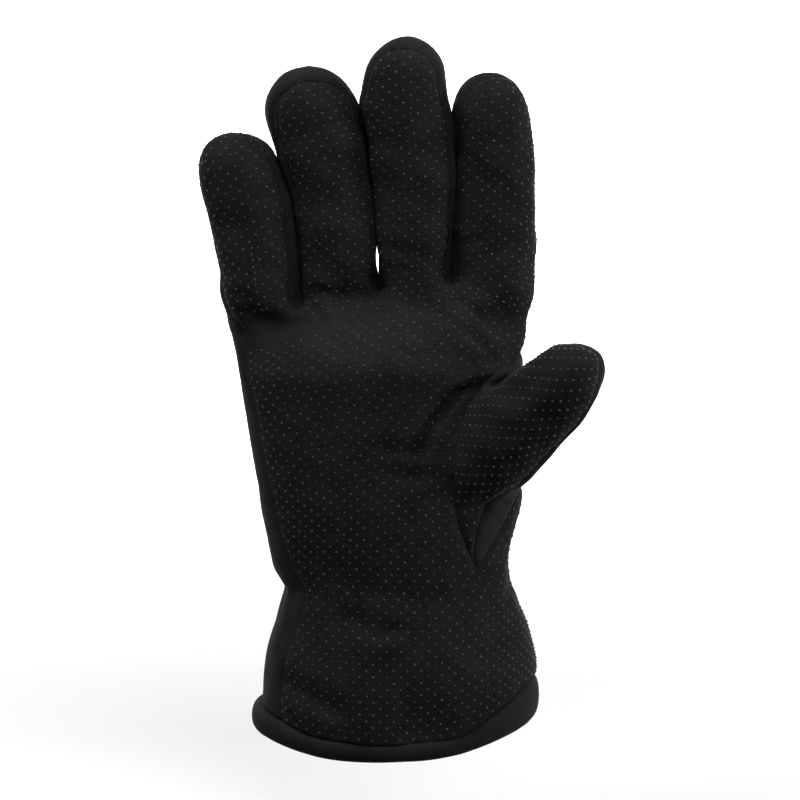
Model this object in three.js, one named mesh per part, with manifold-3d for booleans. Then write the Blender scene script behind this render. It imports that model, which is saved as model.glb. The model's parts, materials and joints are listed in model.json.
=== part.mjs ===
// A padded thermal glove for the right hand, fingers up, made of sewn panels with a hollow for the hand.
// Millimetres: +Z runs up the fingers, -Y is the palm side and +X the thumb side.
// The origin is the middle of the mouth that the hand goes in by, level with the lowest edge of the hem.
import * as THREE from "three";
import { mergeVertices } from "three/addons/utils/BufferGeometryUtils.js";
import Module from "manifold-3d";

const wasm = await Module();
wasm.setup();

// Driving sizes
const cuffHeight = 59; // hem to wrist
const cuffWidth = 102;
const cuffDepth = 66;
const wristWidth = 83.5;
const wristDepth = 46;
const palmHeight = 109; // wrist to the roots of the fingers
const palmWidth = 113;
const palmDepth = 48;
const fingerLength = 92.5; // the middle finger, from its root to its tip
const fingerDepth = 27;
const fingerCurl = 8; // how far the tip of the middle finger leans to the palm side
const thumbLength = 60; // root to tip
const thumbWidth = 34;
const thumbRise = 45; // degrees above level, seen from the palm side
const thumbForward = 22; // degrees towards the palm side
const wall = 3.6; // shell cloth, wadding and fleece together
const hemThick = 8.6; // rolled hem, through the cloth
const hemTall = 10;
const hemRise = 10; // how much higher the hem lies at the two sides
const hemProud = 1.4; // how far the roll stands out past the wall
const hemTilt = 0.025; // rise of the hem for each millimetre towards the thumb
const hemShift = -2.8; // the roll sits off the wall's middle, away from the thumb
const rootSlope = 0.14; // rise of the finger roots for each millimetre towards the thumb
const fingerGap = 0.9;
const seamGap = 0.3;
const crotchRise = 0.7; // where the finger backs part from the hand, above the roots
const mouthBelow = 14; // how far the cutter for the hollow runs past the hem
const reach = 90; // half size of the cutters that divide the shell into panels

const bodySides = 36;
const bodyRings = 19;
const fingerSides = 14;
const fingerRings = 6;
const capRings = 3;
const hollowSides = 16;
const hollowRings = 9;
const rollSides = 8;
const roundness = 2.4; // power of the oval sections, where 2 is an ellipse
const root = cuffHeight + palmHeight;
const hemLine = hemTall + seamGap; // where the wall ends above the rolled hem, at the middle

// The hand's body from hem to finger roots: edges and faces as shares of the size that each row follows.
const cuffRows = [
  { up: 0, left: -0.484, right: 0.512, front: -0.515, back: 0.485 },
  { up: 0.24, left: -0.479, right: 0.514, front: -0.505, back: 0.48 },
  { up: 0.48, left: -0.466, right: 0.497, front: -0.47, back: 0.45 },
  { up: 0.71, left: -0.438, right: 0.472, front: -0.415, back: 0.4 },
  { up: 0.9, left: -0.414, right: 0.436, front: -0.37, back: 0.355 },
];
const wristRows = [
  { up: 1.0, left: -0.494, right: 0.498, front: -0.51, back: 0.48 },
];
const palmRows = [
  { up: 0.07, left: -0.396, right: 0.363, front: -0.5, back: 0.465 },
  { up: 0.15, left: -0.409, right: 0.372, front: -0.53, back: 0.465 },
  { up: 0.3, left: -0.437, right: 0.41, front: -0.55, back: 0.465 },
  { up: 0.49, left: -0.468, right: 0.416, front: -0.54, back: 0.45 },
  { up: 0.67, left: -0.499, right: 0.412, front: -0.48, back: 0.42 },
  { up: 0.79, left: -0.521, right: 0.416, front: -0.42, back: 0.385 },
  { up: 0.9, left: -0.528, right: 0.43, front: -0.35, back: 0.335 },
  { up: 0.97, left: -0.53, right: 0.438, front: -0.305, back: 0.3 },
  { up: 1.0, left: -0.505, right: 0.42, front: -0.265, back: 0.26 },
];

// Lines between the fingers: up as a share of the finger length, the rest as shares of the palm width.
const grooveRows = [
  { up: -0.24, lines: [-0.49, -0.3, -0.052, 0.17, 0.39] },
  { up: -0.06, lines: [-0.545, -0.309, -0.054, 0.174, 0.436] },
  { up: 0.16, lines: [-0.583, -0.317, -0.061, 0.178, 0.45] },
  { up: 0.28, lines: [-0.604, -0.327, -0.066, 0.184, 0.451] },
  { up: 0.4, lines: [-0.629, -0.343, -0.073, 0.19, 0.451] },
  { up: 0.55, lines: [-0.64, -0.4, -0.09, 0.191, 0.448] },
  { up: 0.7, lines: [-0.64, -0.424, -0.112, 0.182, 0.434] },
  { up: 0.82, lines: [-0.64, -0.424, -0.104, 0.171, 0.43] },
];

// One row for each finger. cap and tip are shares of the finger length, tipAt of the palm width, and
// forward of the finger depth. The front seam's place is given at the root and the tip, left and right.
const fingerRows = [
  { name: "little", cap: 0.45, tip: 0.614, tipAt: -0.525, forward: 0.05,
    rootLeft: -0.2, rootRight: -0.36, tipLeft: 0.04, tipRight: -0.4 },
  { name: "ring", cap: 0.7, tip: 0.87, tipAt: -0.275, forward: 0,
    rootLeft: -0.24, rootRight: 0.06, tipLeft: -0.43, tipRight: -0.3 },
  { name: "middle", cap: 0.81, tip: 0.985, tipAt: 0.039, forward: 0.03,
    rootLeft: 0.05, rootRight: -0.25, tipLeft: -0.26, tipRight: -0.37 },
  { name: "index", cap: 0.66, tip: 0.85, tipAt: 0.308, forward: 0,
    rootLeft: -0.22, rootRight: 0.05, tipLeft: -0.38, tipRight: 0.04 },
];
const backSeamAtRoot = 0.22; // of the finger depth
const backSeamPastTip = 0.04; // it crosses the front seam near the tip, so that the strip ends in a point

// The thumb: along as a share of its length, wide and deep as shares of its width.
const thumbRoot = { across: 0.272, forward: -0.31, up: 0.443 }; // of palm width, palm depth and palm height
const thumbRows = [
  { along: -0.45, wide: 0.38, deep: 0.36 },
  { along: 0, wide: 0.5, deep: 0.46 },
  { along: 0.45, wide: 0.45, deep: 0.42 },
  { along: 0.8, wide: 0.39, deep: 0.38 },
];
// The seam between thumb front and back, right to left: [across, behind the middle] as shares of its width.
const thumbSeam = [[1, -0.42], [-0.4, 0.2], [-1, 1.6]];

// Where the thumb pieces are sewn to the palm, seen from the palm side: shares of palm width and palm height.
const thumbOutline = [
  [0.7, 0.353], [0.421, 0.353], [0.396, 0.313], [0.35, 0.226], [0.298, 0.138], [0.259, 0.084],
  [0.24, 0.125], [0.207, 0.212], [0.181, 0.343], [0.175, 0.46], [0.195, 0.562], [0.234, 0.642],
  [0.275, 0.7], [0.33, 0.745], [0.4, 0.78], [0.45, 0.83], [0.46, 1.0], [0.7, 1.0],
];
const leafOutline = [
  [0.259, 0.084], [0.298, 0.138], [0.35, 0.226], [0.396, 0.313], [0.44, 0.37],
  [0.41, 0.37], [0.355, 0.345], [0.29, 0.3], [0.262, 0.22], [0.25, 0.13],
];

// The side seam of the hand, left and right, as shares of the palm depth behind its middle.
const sideSeamRows = [
  { up: -0.1, left: -0.5, right: 0.26 },
  { up: 0.35, left: -0.36, right: 0.16 },
  { up: 0.7, left: -0.28, right: 0.14 },
  { up: 1.0, left: -0.14, right: 0.03 },
];

// A smooth reading of a table of rows at any height, column by column.
function smoothTable(rows, key, columns) {
  const curve = new THREE.CubicInterpolant(
    rows.map((row) => row[key]),
    rows.flatMap((row) => columns.map((column) => row[column])),
    columns.length,
  );
  return (at) => {
    const values = curve.evaluate(at);
    return Object.fromEntries(columns.map((column, k) => [column, values[k]]));
  };
}

function mix(from, to, share) {
  return from + (to - from) * share;
}

// A three.js geometry as a solid that can be cut and joined.
function solid(geometry) {
  const bare = geometry.clone();
  bare.deleteAttribute("normal");
  bare.deleteAttribute("uv");
  const merged = mergeVertices(bare, 1e-4);
  return new wasm.Manifold(
    new wasm.Mesh({
      numProp: 3,
      vertProperties: new Float32Array(merged.attributes.position.array),
      triVerts: new Uint32Array(merged.index.array),
    }),
  );
}

// A closed body through rings of points that run counterclockwise seen from the last ring's side.
function loft(rings, endless = false) {
  const count = rings[0].length;
  const index = [];
  const at = (ring, k) => (ring % rings.length) * count + (k % count);
  const spans = endless ? rings.length : rings.length - 1;
  for (let ring = 0; ring < spans; ring++) {
    for (let k = 0; k < count; k++) {
      index.push(at(ring, k), at(ring, k + 1), at(ring + 1, k + 1));
      index.push(at(ring, k), at(ring + 1, k + 1), at(ring + 1, k));
    }
  }
  for (let k = 1; k < count - 1 && !endless; k++) {
    const last = rings.length - 1;
    index.push(at(0, 0), at(0, k + 1), at(0, k));
    index.push(at(last, 0), at(last, k), at(last, k + 1));
  }
  const geometry = new THREE.BufferGeometry().setFromPoints(rings.flat());
  return solid(geometry.setIndex(index));
}

// Points round an oval: centre, and the vectors from it to its side and to its back.
function oval(centre, side, back, count, power = roundness) {
  const bend = (value) => Math.sign(value) * Math.abs(value) ** (2 / power);
  return Array.from({ length: count }, (_, k) => {
    const turn = (2 * Math.PI * k) / count;
    return centre
      .clone()
      .addScaledVector(side, bend(Math.cos(turn)))
      .addScaledVector(back, bend(Math.sin(turn)));
  });
}

// A level oval between two side edges and two faces.
function levelOval(z, [left, right, front, back], count) {
  const centre = new THREE.Vector3((left + right) / 2, (front + back) / 2, z);
  const side = new THREE.Vector3((right - left) / 2, 0, 0);
  const deep = new THREE.Vector3(0, (back - front) / 2, 0);
  return oval(centre, side, deep, count);
}

const bodyColumns = ["left", "right", "front", "back"];

function sizedRows(rows, base, height, width, depth) {
  return rows.map((row) => ({
    z: base + row.up * height,
    left: row.left * width,
    right: row.right * width,
    front: row.front * depth,
    back: row.back * depth,
  }));
}

const bodyTable = [
  ...sizedRows(cuffRows, hemLine, cuffHeight - hemLine, cuffWidth, cuffDepth),
  ...sizedRows(wristRows, 0, cuffHeight, wristWidth, wristDepth),
  ...sizedRows(palmRows, cuffHeight, palmHeight, palmWidth, palmDepth),
];
const bodyAt = smoothTable(bodyTable, "z", bodyColumns);

// The hem and what is near it rise at the two sides, and the finger roots rise towards the thumb.
function liftOf(point, z) {
  const half = cuffWidth / 2;
  const nearHem = Math.max(0, 1 - Math.max(0, z - hemLine) / (cuffHeight - hemLine));
  const nearRoot = THREE.MathUtils.smoothstep(z, root - palmHeight / 4, root);
  const rise = hemRise * (point.x / half) ** 2 + hemTilt * point.x;
  return rise * nearHem + rootSlope * point.x * nearRoot;
}

function bodyRing(z, inset, count) {
  const size = bodyAt(Math.max(z, hemLine));
  const edges = [size.left + inset, size.right - inset, size.front + inset, size.back - inset];
  const ring = levelOval(z, edges, count);
  for (const point of ring) point.z += liftOf(point, z);
  return ring;
}

function outerBody() {
  const rings = [];
  for (let k = 0; k <= bodyRings; k++) {
    const z = mix(hemLine, root, k / bodyRings);
    rings.push(bodyRing(z, 0, bodySides));
  }
  return loft(rings);
}

function hollowBody() {
  const rings = [];
  const top = root - palmHeight * 0.1;
  for (let k = 0; k <= hollowRings; k++) {
    const z = mix(-mouthBelow, top, k / hollowRings);
    rings.push(bodyRing(z, wall, hollowSides));
  }
  return loft(rings);
}

// Edges, faces and height of one finger's section, at a share of the finger length above its root.
const grooveAt = smoothTable(
  grooveRows.map(({ up, lines }) => ({ up, ...lines })),
  "up",
  grooveRows[0].lines.map((_, k) => String(k)),
);

function fingerSection(finger, number, up, inset) {
  const lines = grooveAt(Math.min(up, finger.cap));
  const left = lines[number] * palmWidth + fingerGap / 2;
  const right = lines[number + 1] * palmWidth - fingerGap / 2;
  const lean = THREE.MathUtils.clamp((up - finger.cap) / (finger.tip - finger.cap), 0, 1);
  const middle = mix((left + right) / 2, finger.tipAt * palmWidth, lean);
  const depthAt = -finger.forward * fingerDepth - fingerCurl * Math.max(0, up) ** 2;
  const sunk = Math.min(0, up); // below the root the finger thins out inside the palm
  return {
    centre: new THREE.Vector3(middle, depthAt, root + up * fingerLength),
    half: (right - left) / 2 - inset,
    deep: fingerDepth * (0.5 + sunk * 0.8) - inset,
  };
}

function fingerLoft(finger, number, inset, from, count) {
  const rings = [];
  const tip = finger.tip - inset / fingerLength;
  const side = new THREE.Vector3();
  const back = new THREE.Vector3();
  const add = (up, shrink) => {
    const section = fingerSection(finger, number, up, inset);
    side.set(section.half * shrink, 0, 0);
    back.set(0, section.deep * shrink, 0);
    rings.push(oval(section.centre, side, back, count));
  };
  for (let k = 0; k < fingerRings; k++) add(mix(from, finger.cap, k / fingerRings), 1);
  for (let k = 0; k <= capRings; k++) {
    const turn = (k / (capRings + 0.35)) * (Math.PI / 2);
    add(mix(finger.cap, tip, Math.sin(turn)), Math.cos(turn));
  }
  return loft(rings);
}

// The thumb's middle line and the two directions across it.
const thumbWay = new THREE.Vector3(
  Math.cos(THREE.MathUtils.degToRad(thumbRise)) * Math.cos(THREE.MathUtils.degToRad(thumbForward)),
  -Math.sin(THREE.MathUtils.degToRad(thumbForward)),
  Math.sin(THREE.MathUtils.degToRad(thumbRise)) * Math.cos(THREE.MathUtils.degToRad(thumbForward)),
);
const thumbBack = new THREE.Vector3(0, 1, 0).addScaledVector(thumbWay, -thumbWay.y).normalize();
const thumbSide = new THREE.Vector3().crossVectors(thumbBack, thumbWay);
const thumbStart = new THREE.Vector3(
  thumbRoot.across * palmWidth,
  thumbRoot.forward * palmDepth,
  cuffHeight + thumbRoot.up * palmHeight,
);
const thumbAt = smoothTable(thumbRows, "along", ["wide", "deep"]);
const thumbCap = thumbRows[thumbRows.length - 1].along;

function thumbPoint(along) {
  return thumbStart.clone().addScaledVector(thumbWay, along * thumbLength);
}

function thumbLoft(inset, from, count) {
  const rings = [];
  const tip = 1 - inset / thumbLength;
  const add = (along, shrink) => {
    const size = thumbAt(Math.min(along, thumbCap));
    const side = thumbSide.clone().multiplyScalar((size.wide * thumbWidth - inset) * shrink);
    const back = thumbBack.clone().multiplyScalar((size.deep * thumbWidth - inset) * shrink);
    rings.push(oval(thumbPoint(along), side, back, count, 2));
  };
  for (let k = 0; k < fingerRings; k++) add(mix(from, thumbCap, k / fingerRings), 1);
  for (let k = 0; k <= capRings; k++) {
    const turn = (k / (capRings + 0.35)) * (Math.PI / 2);
    add(mix(thumbCap, tip, Math.sin(turn)), Math.cos(turn));
  }
  return loft(rings);
}

// The padded wall of the whole glove: the outside less the room for the hand.
function shell() {
  const fingersFrom = grooveRows[0].up;
  let outside = outerBody().add(thumbLoft(0, thumbRows[0].along, fingerSides));
  let inside = hollowBody().add(thumbLoft(wall, thumbRows[0].along, hollowSides / 2));
  fingerRows.forEach((finger, number) => {
    outside = outside.add(fingerLoft(finger, number, 0, fingersFrom, fingerSides));
    inside = inside.add(fingerLoft(finger, number, wall, fingersFrom, hollowSides / 2));
  });
  return outside.subtract(inside);
}

// A cutter's section: all that lies in front of a seam, given as [across, deep] points from right to left.
function cutterRing(centre, side, back, seam) {
  const right = seam[0][0];
  const left = seam[seam.length - 1][0];
  const corners = [[left, -reach], [right, -reach], ...seam];
  return corners.map(([across, deep]) =>
    centre.clone().addScaledVector(side, across).addScaledVector(back, deep),
  );
}

const sideways = new THREE.Vector3(1, 0, 0);
const rearward = new THREE.Vector3(0, 1, 0);

// The space in front of the hand's side seam, from below the hem to the finger roots.
function palmSpace(grow) {
  const seamAt = smoothTable(sideSeamRows, "up", ["left", "right"]);
  const steps = 8;
  const rings = [];
  for (let k = 0; k <= steps; k++) {
    const up = mix(sideSeamRows[0].up, 1, k / steps);
    const place = seamAt(up);
    const centre = new THREE.Vector3(0, 0, up * root);
    const left = place.left * palmDepth + grow;
    const right = place.right * palmDepth + grow;
    const edge = palmWidth * 0.3;
    const seam = [[reach, right], [edge, right], [-edge, left], [-reach, left]];
    rings.push(cutterRing(centre, sideways, rearward, seam));
  }
  return loft(rings);
}

// Heights of the cutters' sections, as shares of the finger length, the same for all so that neighbours meet.
const spaceLevels = [-0.14, 0, 0.16, 0.32, 0.46, 0.6, 0.74, 0.9, 1.1];

// The space in front of one finger's seam (front) or of its back seam on one half (strip).
function fingerSpace(finger, number, kind, half, grow) {
  const rings = [];
  for (const up of spaceLevels) {
    if (up > finger.tip + 0.2) break;
    const section = fingerSection(finger, number, up, 0);
    const share = THREE.MathUtils.clamp(up / finger.tip, 0, 1);
    const seamOf = (atRoot, atTip) => {
      const front = mix(atRoot, atTip, share);
      const back = mix(backSeamAtRoot, atTip - backSeamPastTip, share);
      return (kind === "front" ? front : back) * fingerDepth + grow;
    };
    const seamLeft = seamOf(finger.rootLeft, finger.tipLeft);
    const seamRight = seamOf(finger.rootRight, finger.tipRight);
    const edge = section.half + fingerGap / 2 + (kind === "strip" ? seamGap : 0);
    const left = half === "right" ? 0 : -edge;
    const right = half === "left" ? 0 : edge;
    rings.push(cutterRing(section.centre, sideways, rearward, [[right, seamRight], [left, seamLeft]]));
  }
  return loft(rings);
}

// The space of a strip between two fingers: the right half of one and the left half of the next.
function stripSpace(number, grow) {
  const one = fingerSpace(fingerRows[number], number, "strip", "right", grow);
  return one.add(fingerSpace(fingerRows[number + 1], number + 1, "strip", "left", grow));
}

function frontSpace(grow) {
  let space = palmSpace(grow);
  fingerRows.forEach((finger, number) => {
    space = space.add(fingerSpace(finger, number, "front", "both", grow));
  });
  return space;
}

// A column from far in front of the palm to a depth, with an outline seen from the palm side.
function columnSpace(outline, grow, depth) {
  const points = outline.map(
    ([across, up]) => new THREE.Vector2(across * palmWidth, cuffHeight + up * palmHeight),
  );
  const outward = (from, to) => new THREE.Vector2(to.y - from.y, from.x - to.x).normalize();
  const turning = Math.sign(THREE.ShapeUtils.area(points));
  const grown = points.map((point, k) => {
    const before = outward(points[(k + points.length - 1) % points.length], point);
    const after = outward(point, points[(k + 1) % points.length]);
    const away = before.add(after).multiplyScalar((turning * grow) / (1 + before.dot(after)));
    return point.clone().add(away);
  });
  const run = { depth: reach + depth, bevelEnabled: false };
  const column = new THREE.ExtrudeGeometry(new THREE.Shape(grown), run);
  return solid(column.rotateX(Math.PI / 2).translate(0, depth, 0));
}

// The space in front of the thumb's own seam.
function thumbFrontSpace(grow) {
  const seam = thumbSeam.map(([across, deep]) => [across * thumbWidth, deep * thumbWidth + grow]);
  const ends = [-0.9, 1.3].map((along) => cutterRing(thumbPoint(along), thumbSide, thumbBack, seam));
  return loft(ends);
}

// The rolled hem: an endless ring of ovals along the mouth.
function hemRoll() {
  const size = bodyAt(hemLine);
  const steps = bodySides;
  const rings = [];
  const inset = hemThick / 2 - hemProud;
  const edges = [size.left + inset, size.right - inset, size.front + inset, size.back - inset];
  const path = levelOval(0, edges, steps);
  path.forEach((point, k) => {
    const before = path[(k + steps - 1) % steps];
    const after = path[(k + 1) % steps];
    const outward = new THREE.Vector3(after.y - before.y, before.x - after.x, 0).setLength(hemThick / 2);
    const downward = new THREE.Vector3(0, 0, -hemTall / 2);
    const middle = point.clone();
    middle.x += hemShift;
    middle.z = hemTall / 2 + liftOf(middle, hemLine);
    rings.push(oval(middle, outward, downward, rollSides));
  });
  return loft(rings, true);
}

// Cloth materials: dotted grip cloth, plain shell cloth, and the hem.
const gripCloth = new THREE.MeshStandardMaterial({ color: 0x1c1c1d, roughness: 0.78, metalness: 0 });
const shellCloth = new THREE.MeshStandardMaterial({ color: 0x202022, roughness: 0.85, metalness: 0 });
const hemCloth = new THREE.MeshStandardMaterial({ color: 0x1e1e20, roughness: 0.9, metalness: 0 });

// One closed body: a crumb left where two cutter faces meet is dropped.
function oneBody(piece) {
  return piece.decompose().sort((a, b) => b.volume() - a.volume())[0];
}

// A wall parted along a sloping level: what lies above it and what lies below, a seam's gap between.
function partedAt(level, slope, wallPiece) {
  const upward = new THREE.Vector3(-slope, 0, 1).normalize();
  const height = level * upward.z;
  const above = wallPiece.trimByPlane(upward.toArray(), height + seamGap / 2);
  const below = wallPiece.trimByPlane(upward.negate().toArray(), seamGap / 2 - height);
  return [above, below];
}

// The finger backs come apart above the roots: the largest bodies, from the little finger to the index.
function fingerBacks(piece) {
  const bodies = piece.decompose().sort((a, b) => b.volume() - a.volume());
  const middleOf = (body) => body.boundingBox().min[0] + body.boundingBox().max[0];
  return bodies.slice(0, fingerRows.length).sort((a, b) => middleOf(a) - middleOf(b));
}

function meshOf(name, piece, material) {
  const made = oneBody(piece).getMesh();
  const geometry = new THREE.BufferGeometry();
  geometry.setAttribute("position", new THREE.BufferAttribute(made.vertProperties.slice(), 3));
  geometry.setIndex(new THREE.BufferAttribute(made.triVerts.slice(), 1));
  geometry.computeVertexNormals();
  const mesh = new THREE.Mesh(geometry, material);
  mesh.name = name;
  return mesh;
}

const glove = new THREE.Group();
const wholeWall = shell();
const front = frontSpace(0);
const frontGrown = frontSpace(seamGap);
const backDepth = sideSeamRows[1].right * palmDepth;
const thumbSpace = columnSpace(thumbOutline, 0, backDepth);
const thumbGrown = columnSpace(thumbOutline, seamGap, backDepth + seamGap);
const leaf = columnSpace(leafOutline, 0, backDepth);
const leafGrown = columnSpace(leafOutline, seamGap, backDepth);

const roll = hemRoll();
const thumbWall = wholeWall.intersect(thumbSpace);
const thumbFront = thumbWall.intersect(thumbFrontSpace(0)).subtract(leafGrown);
const thumbBackWall = thumbWall.subtract(thumbFrontSpace(seamGap)).add(thumbWall.intersect(leaf));
const handWall = wholeWall.subtract(thumbGrown);
const palm = handWall.intersect(front);
let backWall = handWall.subtract(frontGrown);
glove.add(meshOf("palm_panel", palm, gripCloth));
glove.add(meshOf("thumb_front", thumbFront, gripCloth));
glove.add(meshOf("thumb_back", thumbBackWall, shellCloth));

const stripNames = ["strip_little_ring", "strip_ring_middle", "strip_middle_index"];
stripNames.forEach((name, number) => {
  const strip = handWall.intersect(stripSpace(number, 0)).subtract(frontGrown);
  backWall = backWall.subtract(stripSpace(number, seamGap));
  glove.add(meshOf(name, strip, shellCloth));
});
const [fingerWall, handBack] = partedAt(root + crotchRise, rootSlope, backWall);
const [palmBack, cuffBack] = partedAt(cuffHeight, 0, handBack);
glove.add(meshOf("back_cuff", cuffBack, shellCloth));
glove.add(meshOf("back_panel", palmBack, shellCloth));
const backNames = ["back_little", "back_ring", "back_middle", "back_index"];
fingerBacks(fingerWall).forEach((finger, number) => {
  glove.add(meshOf(backNames[number], finger, shellCloth));
});
glove.add(meshOf("hem_roll", roll, hemCloth));

export default glove;
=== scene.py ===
"""Padded thermal glove: dresses the frame with sewn cloth panels, grip dots, a rolled hem and a lining."""

import json
import math

import bpy
import numpy as np
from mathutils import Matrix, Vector, noise
from mathutils.bvhtree import BVHTree
from mathutils.kdtree import KDTree

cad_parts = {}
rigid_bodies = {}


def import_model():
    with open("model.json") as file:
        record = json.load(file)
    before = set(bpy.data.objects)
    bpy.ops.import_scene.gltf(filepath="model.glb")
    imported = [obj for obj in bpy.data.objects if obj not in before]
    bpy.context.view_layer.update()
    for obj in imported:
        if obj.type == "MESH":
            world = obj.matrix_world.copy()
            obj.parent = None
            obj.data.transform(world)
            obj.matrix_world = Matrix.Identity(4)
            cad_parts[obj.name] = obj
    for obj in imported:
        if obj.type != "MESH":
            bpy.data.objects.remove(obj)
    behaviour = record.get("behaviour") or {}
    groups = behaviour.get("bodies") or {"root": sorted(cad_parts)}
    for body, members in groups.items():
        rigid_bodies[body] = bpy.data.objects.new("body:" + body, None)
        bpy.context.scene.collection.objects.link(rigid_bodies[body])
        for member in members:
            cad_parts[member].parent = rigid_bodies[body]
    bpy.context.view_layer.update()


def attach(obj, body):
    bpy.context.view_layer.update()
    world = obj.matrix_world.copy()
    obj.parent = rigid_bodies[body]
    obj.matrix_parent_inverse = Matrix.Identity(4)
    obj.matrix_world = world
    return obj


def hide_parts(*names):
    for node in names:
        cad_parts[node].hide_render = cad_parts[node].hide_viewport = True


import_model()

bl_info = {
    "name": "Thermal Glove",
    "version": (1, 0, 0),
    "blender": (4, 5, 0),
    "location": "3D View > Sidebar > Glove",
    "description": "Builds the cloth, grip dots, hem and lining of a padded glove over its frame",
    "category": "Object",
}

MM = 0.001

# The glove's form in millimetres, as in the frame: hem to wrist, wrist to finger roots, then the fingers.
HEM_LINE = 10.3
CUFF_HEIGHT = 59.0
CUFF_WIDTH = 102.0
PALM_HEIGHT = 109.0
PALM_WIDTH = 113.0
PALM_DEPTH = 48.0
ROOT = CUFF_HEIGHT + PALM_HEIGHT
FINGER_LENGTH = 92.5
FINGER_DEPTH = 27.0
FINGER_CURL = 8.0
FINGER_GAP = 0.7
HEM_RISE = 10.0
HEM_TILT = 0.025
ROOT_SLOPE = 0.14
WALL = 3.6
LINING_BELOW_GROOVE = 3
ROUNDNESS = 2.4

# height, left edge, right edge, front face, back face
BODY_ROWS = np.array([
    (10.3, -49.37, 52.22, -33.99, 32.01),
    (21.99, -48.86, 52.43, -33.33, 31.68),
    (33.68, -47.53, 50.69, -31.02, 29.7),
    (44.88, -44.68, 48.14, -27.39, 26.4),
    (54.13, -42.23, 44.47, -24.42, 23.43),
    (59.0, -41.25, 41.58, -23.46, 22.08),
    (66.63, -44.75, 41.02, -24.0, 22.32),
    (75.35, -46.22, 42.04, -25.44, 22.32),
    (91.7, -49.38, 46.33, -26.4, 22.32),
    (112.41, -52.88, 47.01, -25.92, 21.6),
    (132.03, -56.39, 46.56, -23.04, 20.16),
    (145.11, -58.87, 47.01, -20.16, 18.48),
    (157.1, -59.66, 48.59, -16.8, 16.08),
    (164.73, -59.89, 49.49, -14.64, 14.4),
    (168.0, -57.07, 47.46, -12.72, 12.48),
])

# share of the finger length, then the five lines between and beside the fingers as shares of the palm width
GROOVE_ROWS = np.array([
    (-0.24, -0.49, -0.3, -0.052, 0.17, 0.39),
    (-0.06, -0.545, -0.309, -0.054, 0.174, 0.436),
    (0.16, -0.583, -0.317, -0.061, 0.178, 0.45),
    (0.28, -0.604, -0.327, -0.066, 0.184, 0.451),
    (0.4, -0.629, -0.343, -0.073, 0.19, 0.451),
    (0.55, -0.64, -0.4, -0.09, 0.191, 0.448),
    (0.7, -0.64, -0.424, -0.112, 0.182, 0.434),
    (0.82, -0.64, -0.424, -0.104, 0.171, 0.43),
])

# cap, tip, tip's place across, lean forward, then the front seam at root left, root right, tip left, tip right
FINGERS = {
    "little": (0.45, 0.614, -0.525, 0.05, -0.2, -0.36, 0.14, -0.4),
    "ring": (0.7, 0.87, -0.275, 0.0, -0.24, 0.06, -0.43, -0.3),
    "middle": (0.81, 0.985, 0.039, 0.03, 0.05, -0.25, -0.26, -0.37),
    "index": (0.66, 0.85, 0.308, 0.0, -0.22, 0.05, -0.38, 0.04),
}
FINGER_ROWS = np.array(list(FINGERS.values()))
FINGER_START = -0.24
ROUNDING_STOP = math.pi / 2 * 0.97
SPREAD = 3.2
BELOW_HEM = 14
BACK_SEAM_ROOT = 0.22
BACK_SEAM_PAST_TIP = 0.04

THUMB_START = np.array([0.272 * PALM_WIDTH, -0.31 * PALM_DEPTH, CUFF_HEIGHT + 0.443 * PALM_HEIGHT])
THUMB_LENGTH = 60.0
THUMB_WIDTH = 34.0
THUMB_ROWS = np.array([(-0.45, 0.38, 0.36), (0.0, 0.5, 0.46), (0.45, 0.45, 0.42), (0.8, 0.39, 0.38)])
THUMB_SEAM = np.array([(-1.0, 1.6), (-0.4, 0.2), (1.0, -0.42)])
RISE = math.radians(45)
FORWARD = math.radians(22)
THUMB_WAY = np.array([
    math.cos(RISE) * math.cos(FORWARD), -math.sin(FORWARD), math.sin(RISE) * math.cos(FORWARD)])
THUMB_BACK = np.array([0.0, 1.0, 0.0]) - THUMB_WAY * THUMB_WAY[1]
THUMB_BACK /= np.linalg.norm(THUMB_BACK)
THUMB_SIDE = np.cross(THUMB_BACK, THUMB_WAY)
THUMB_CUT = 0.16 * PALM_DEPTH

# outlines seen from the palm side, as shares of palm width and palm height above the wrist
THUMB_OUTLINE = np.array([
    (0.7, 0.353), (0.421, 0.353), (0.396, 0.313), (0.35, 0.226), (0.298, 0.138), (0.259, 0.084),
    (0.24, 0.125), (0.207, 0.212), (0.181, 0.343), (0.175, 0.46), (0.195, 0.562), (0.234, 0.642),
    (0.275, 0.7), (0.33, 0.745), (0.4, 0.78), (0.45, 0.83), (0.46, 1.0), (0.7, 1.0)])
LEAF_OUTLINE = np.array([
    (0.259, 0.084), (0.298, 0.138), (0.35, 0.226), (0.396, 0.313), (0.44, 0.37),
    (0.41, 0.37), (0.355, 0.345), (0.29, 0.3), (0.262, 0.22), (0.25, 0.13)])

# side seam: height as a share of the root's, then left and right as shares of the palm depth
SIDE_SEAM = np.array([(-0.1, -0.5, 0.26), (0.35, -0.36, 0.16), (0.7, -0.28, 0.14), (1.0, -0.14, 0.03)])
SIDE_SEAM_FLAT = 0.3 * PALM_WIDTH

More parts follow.
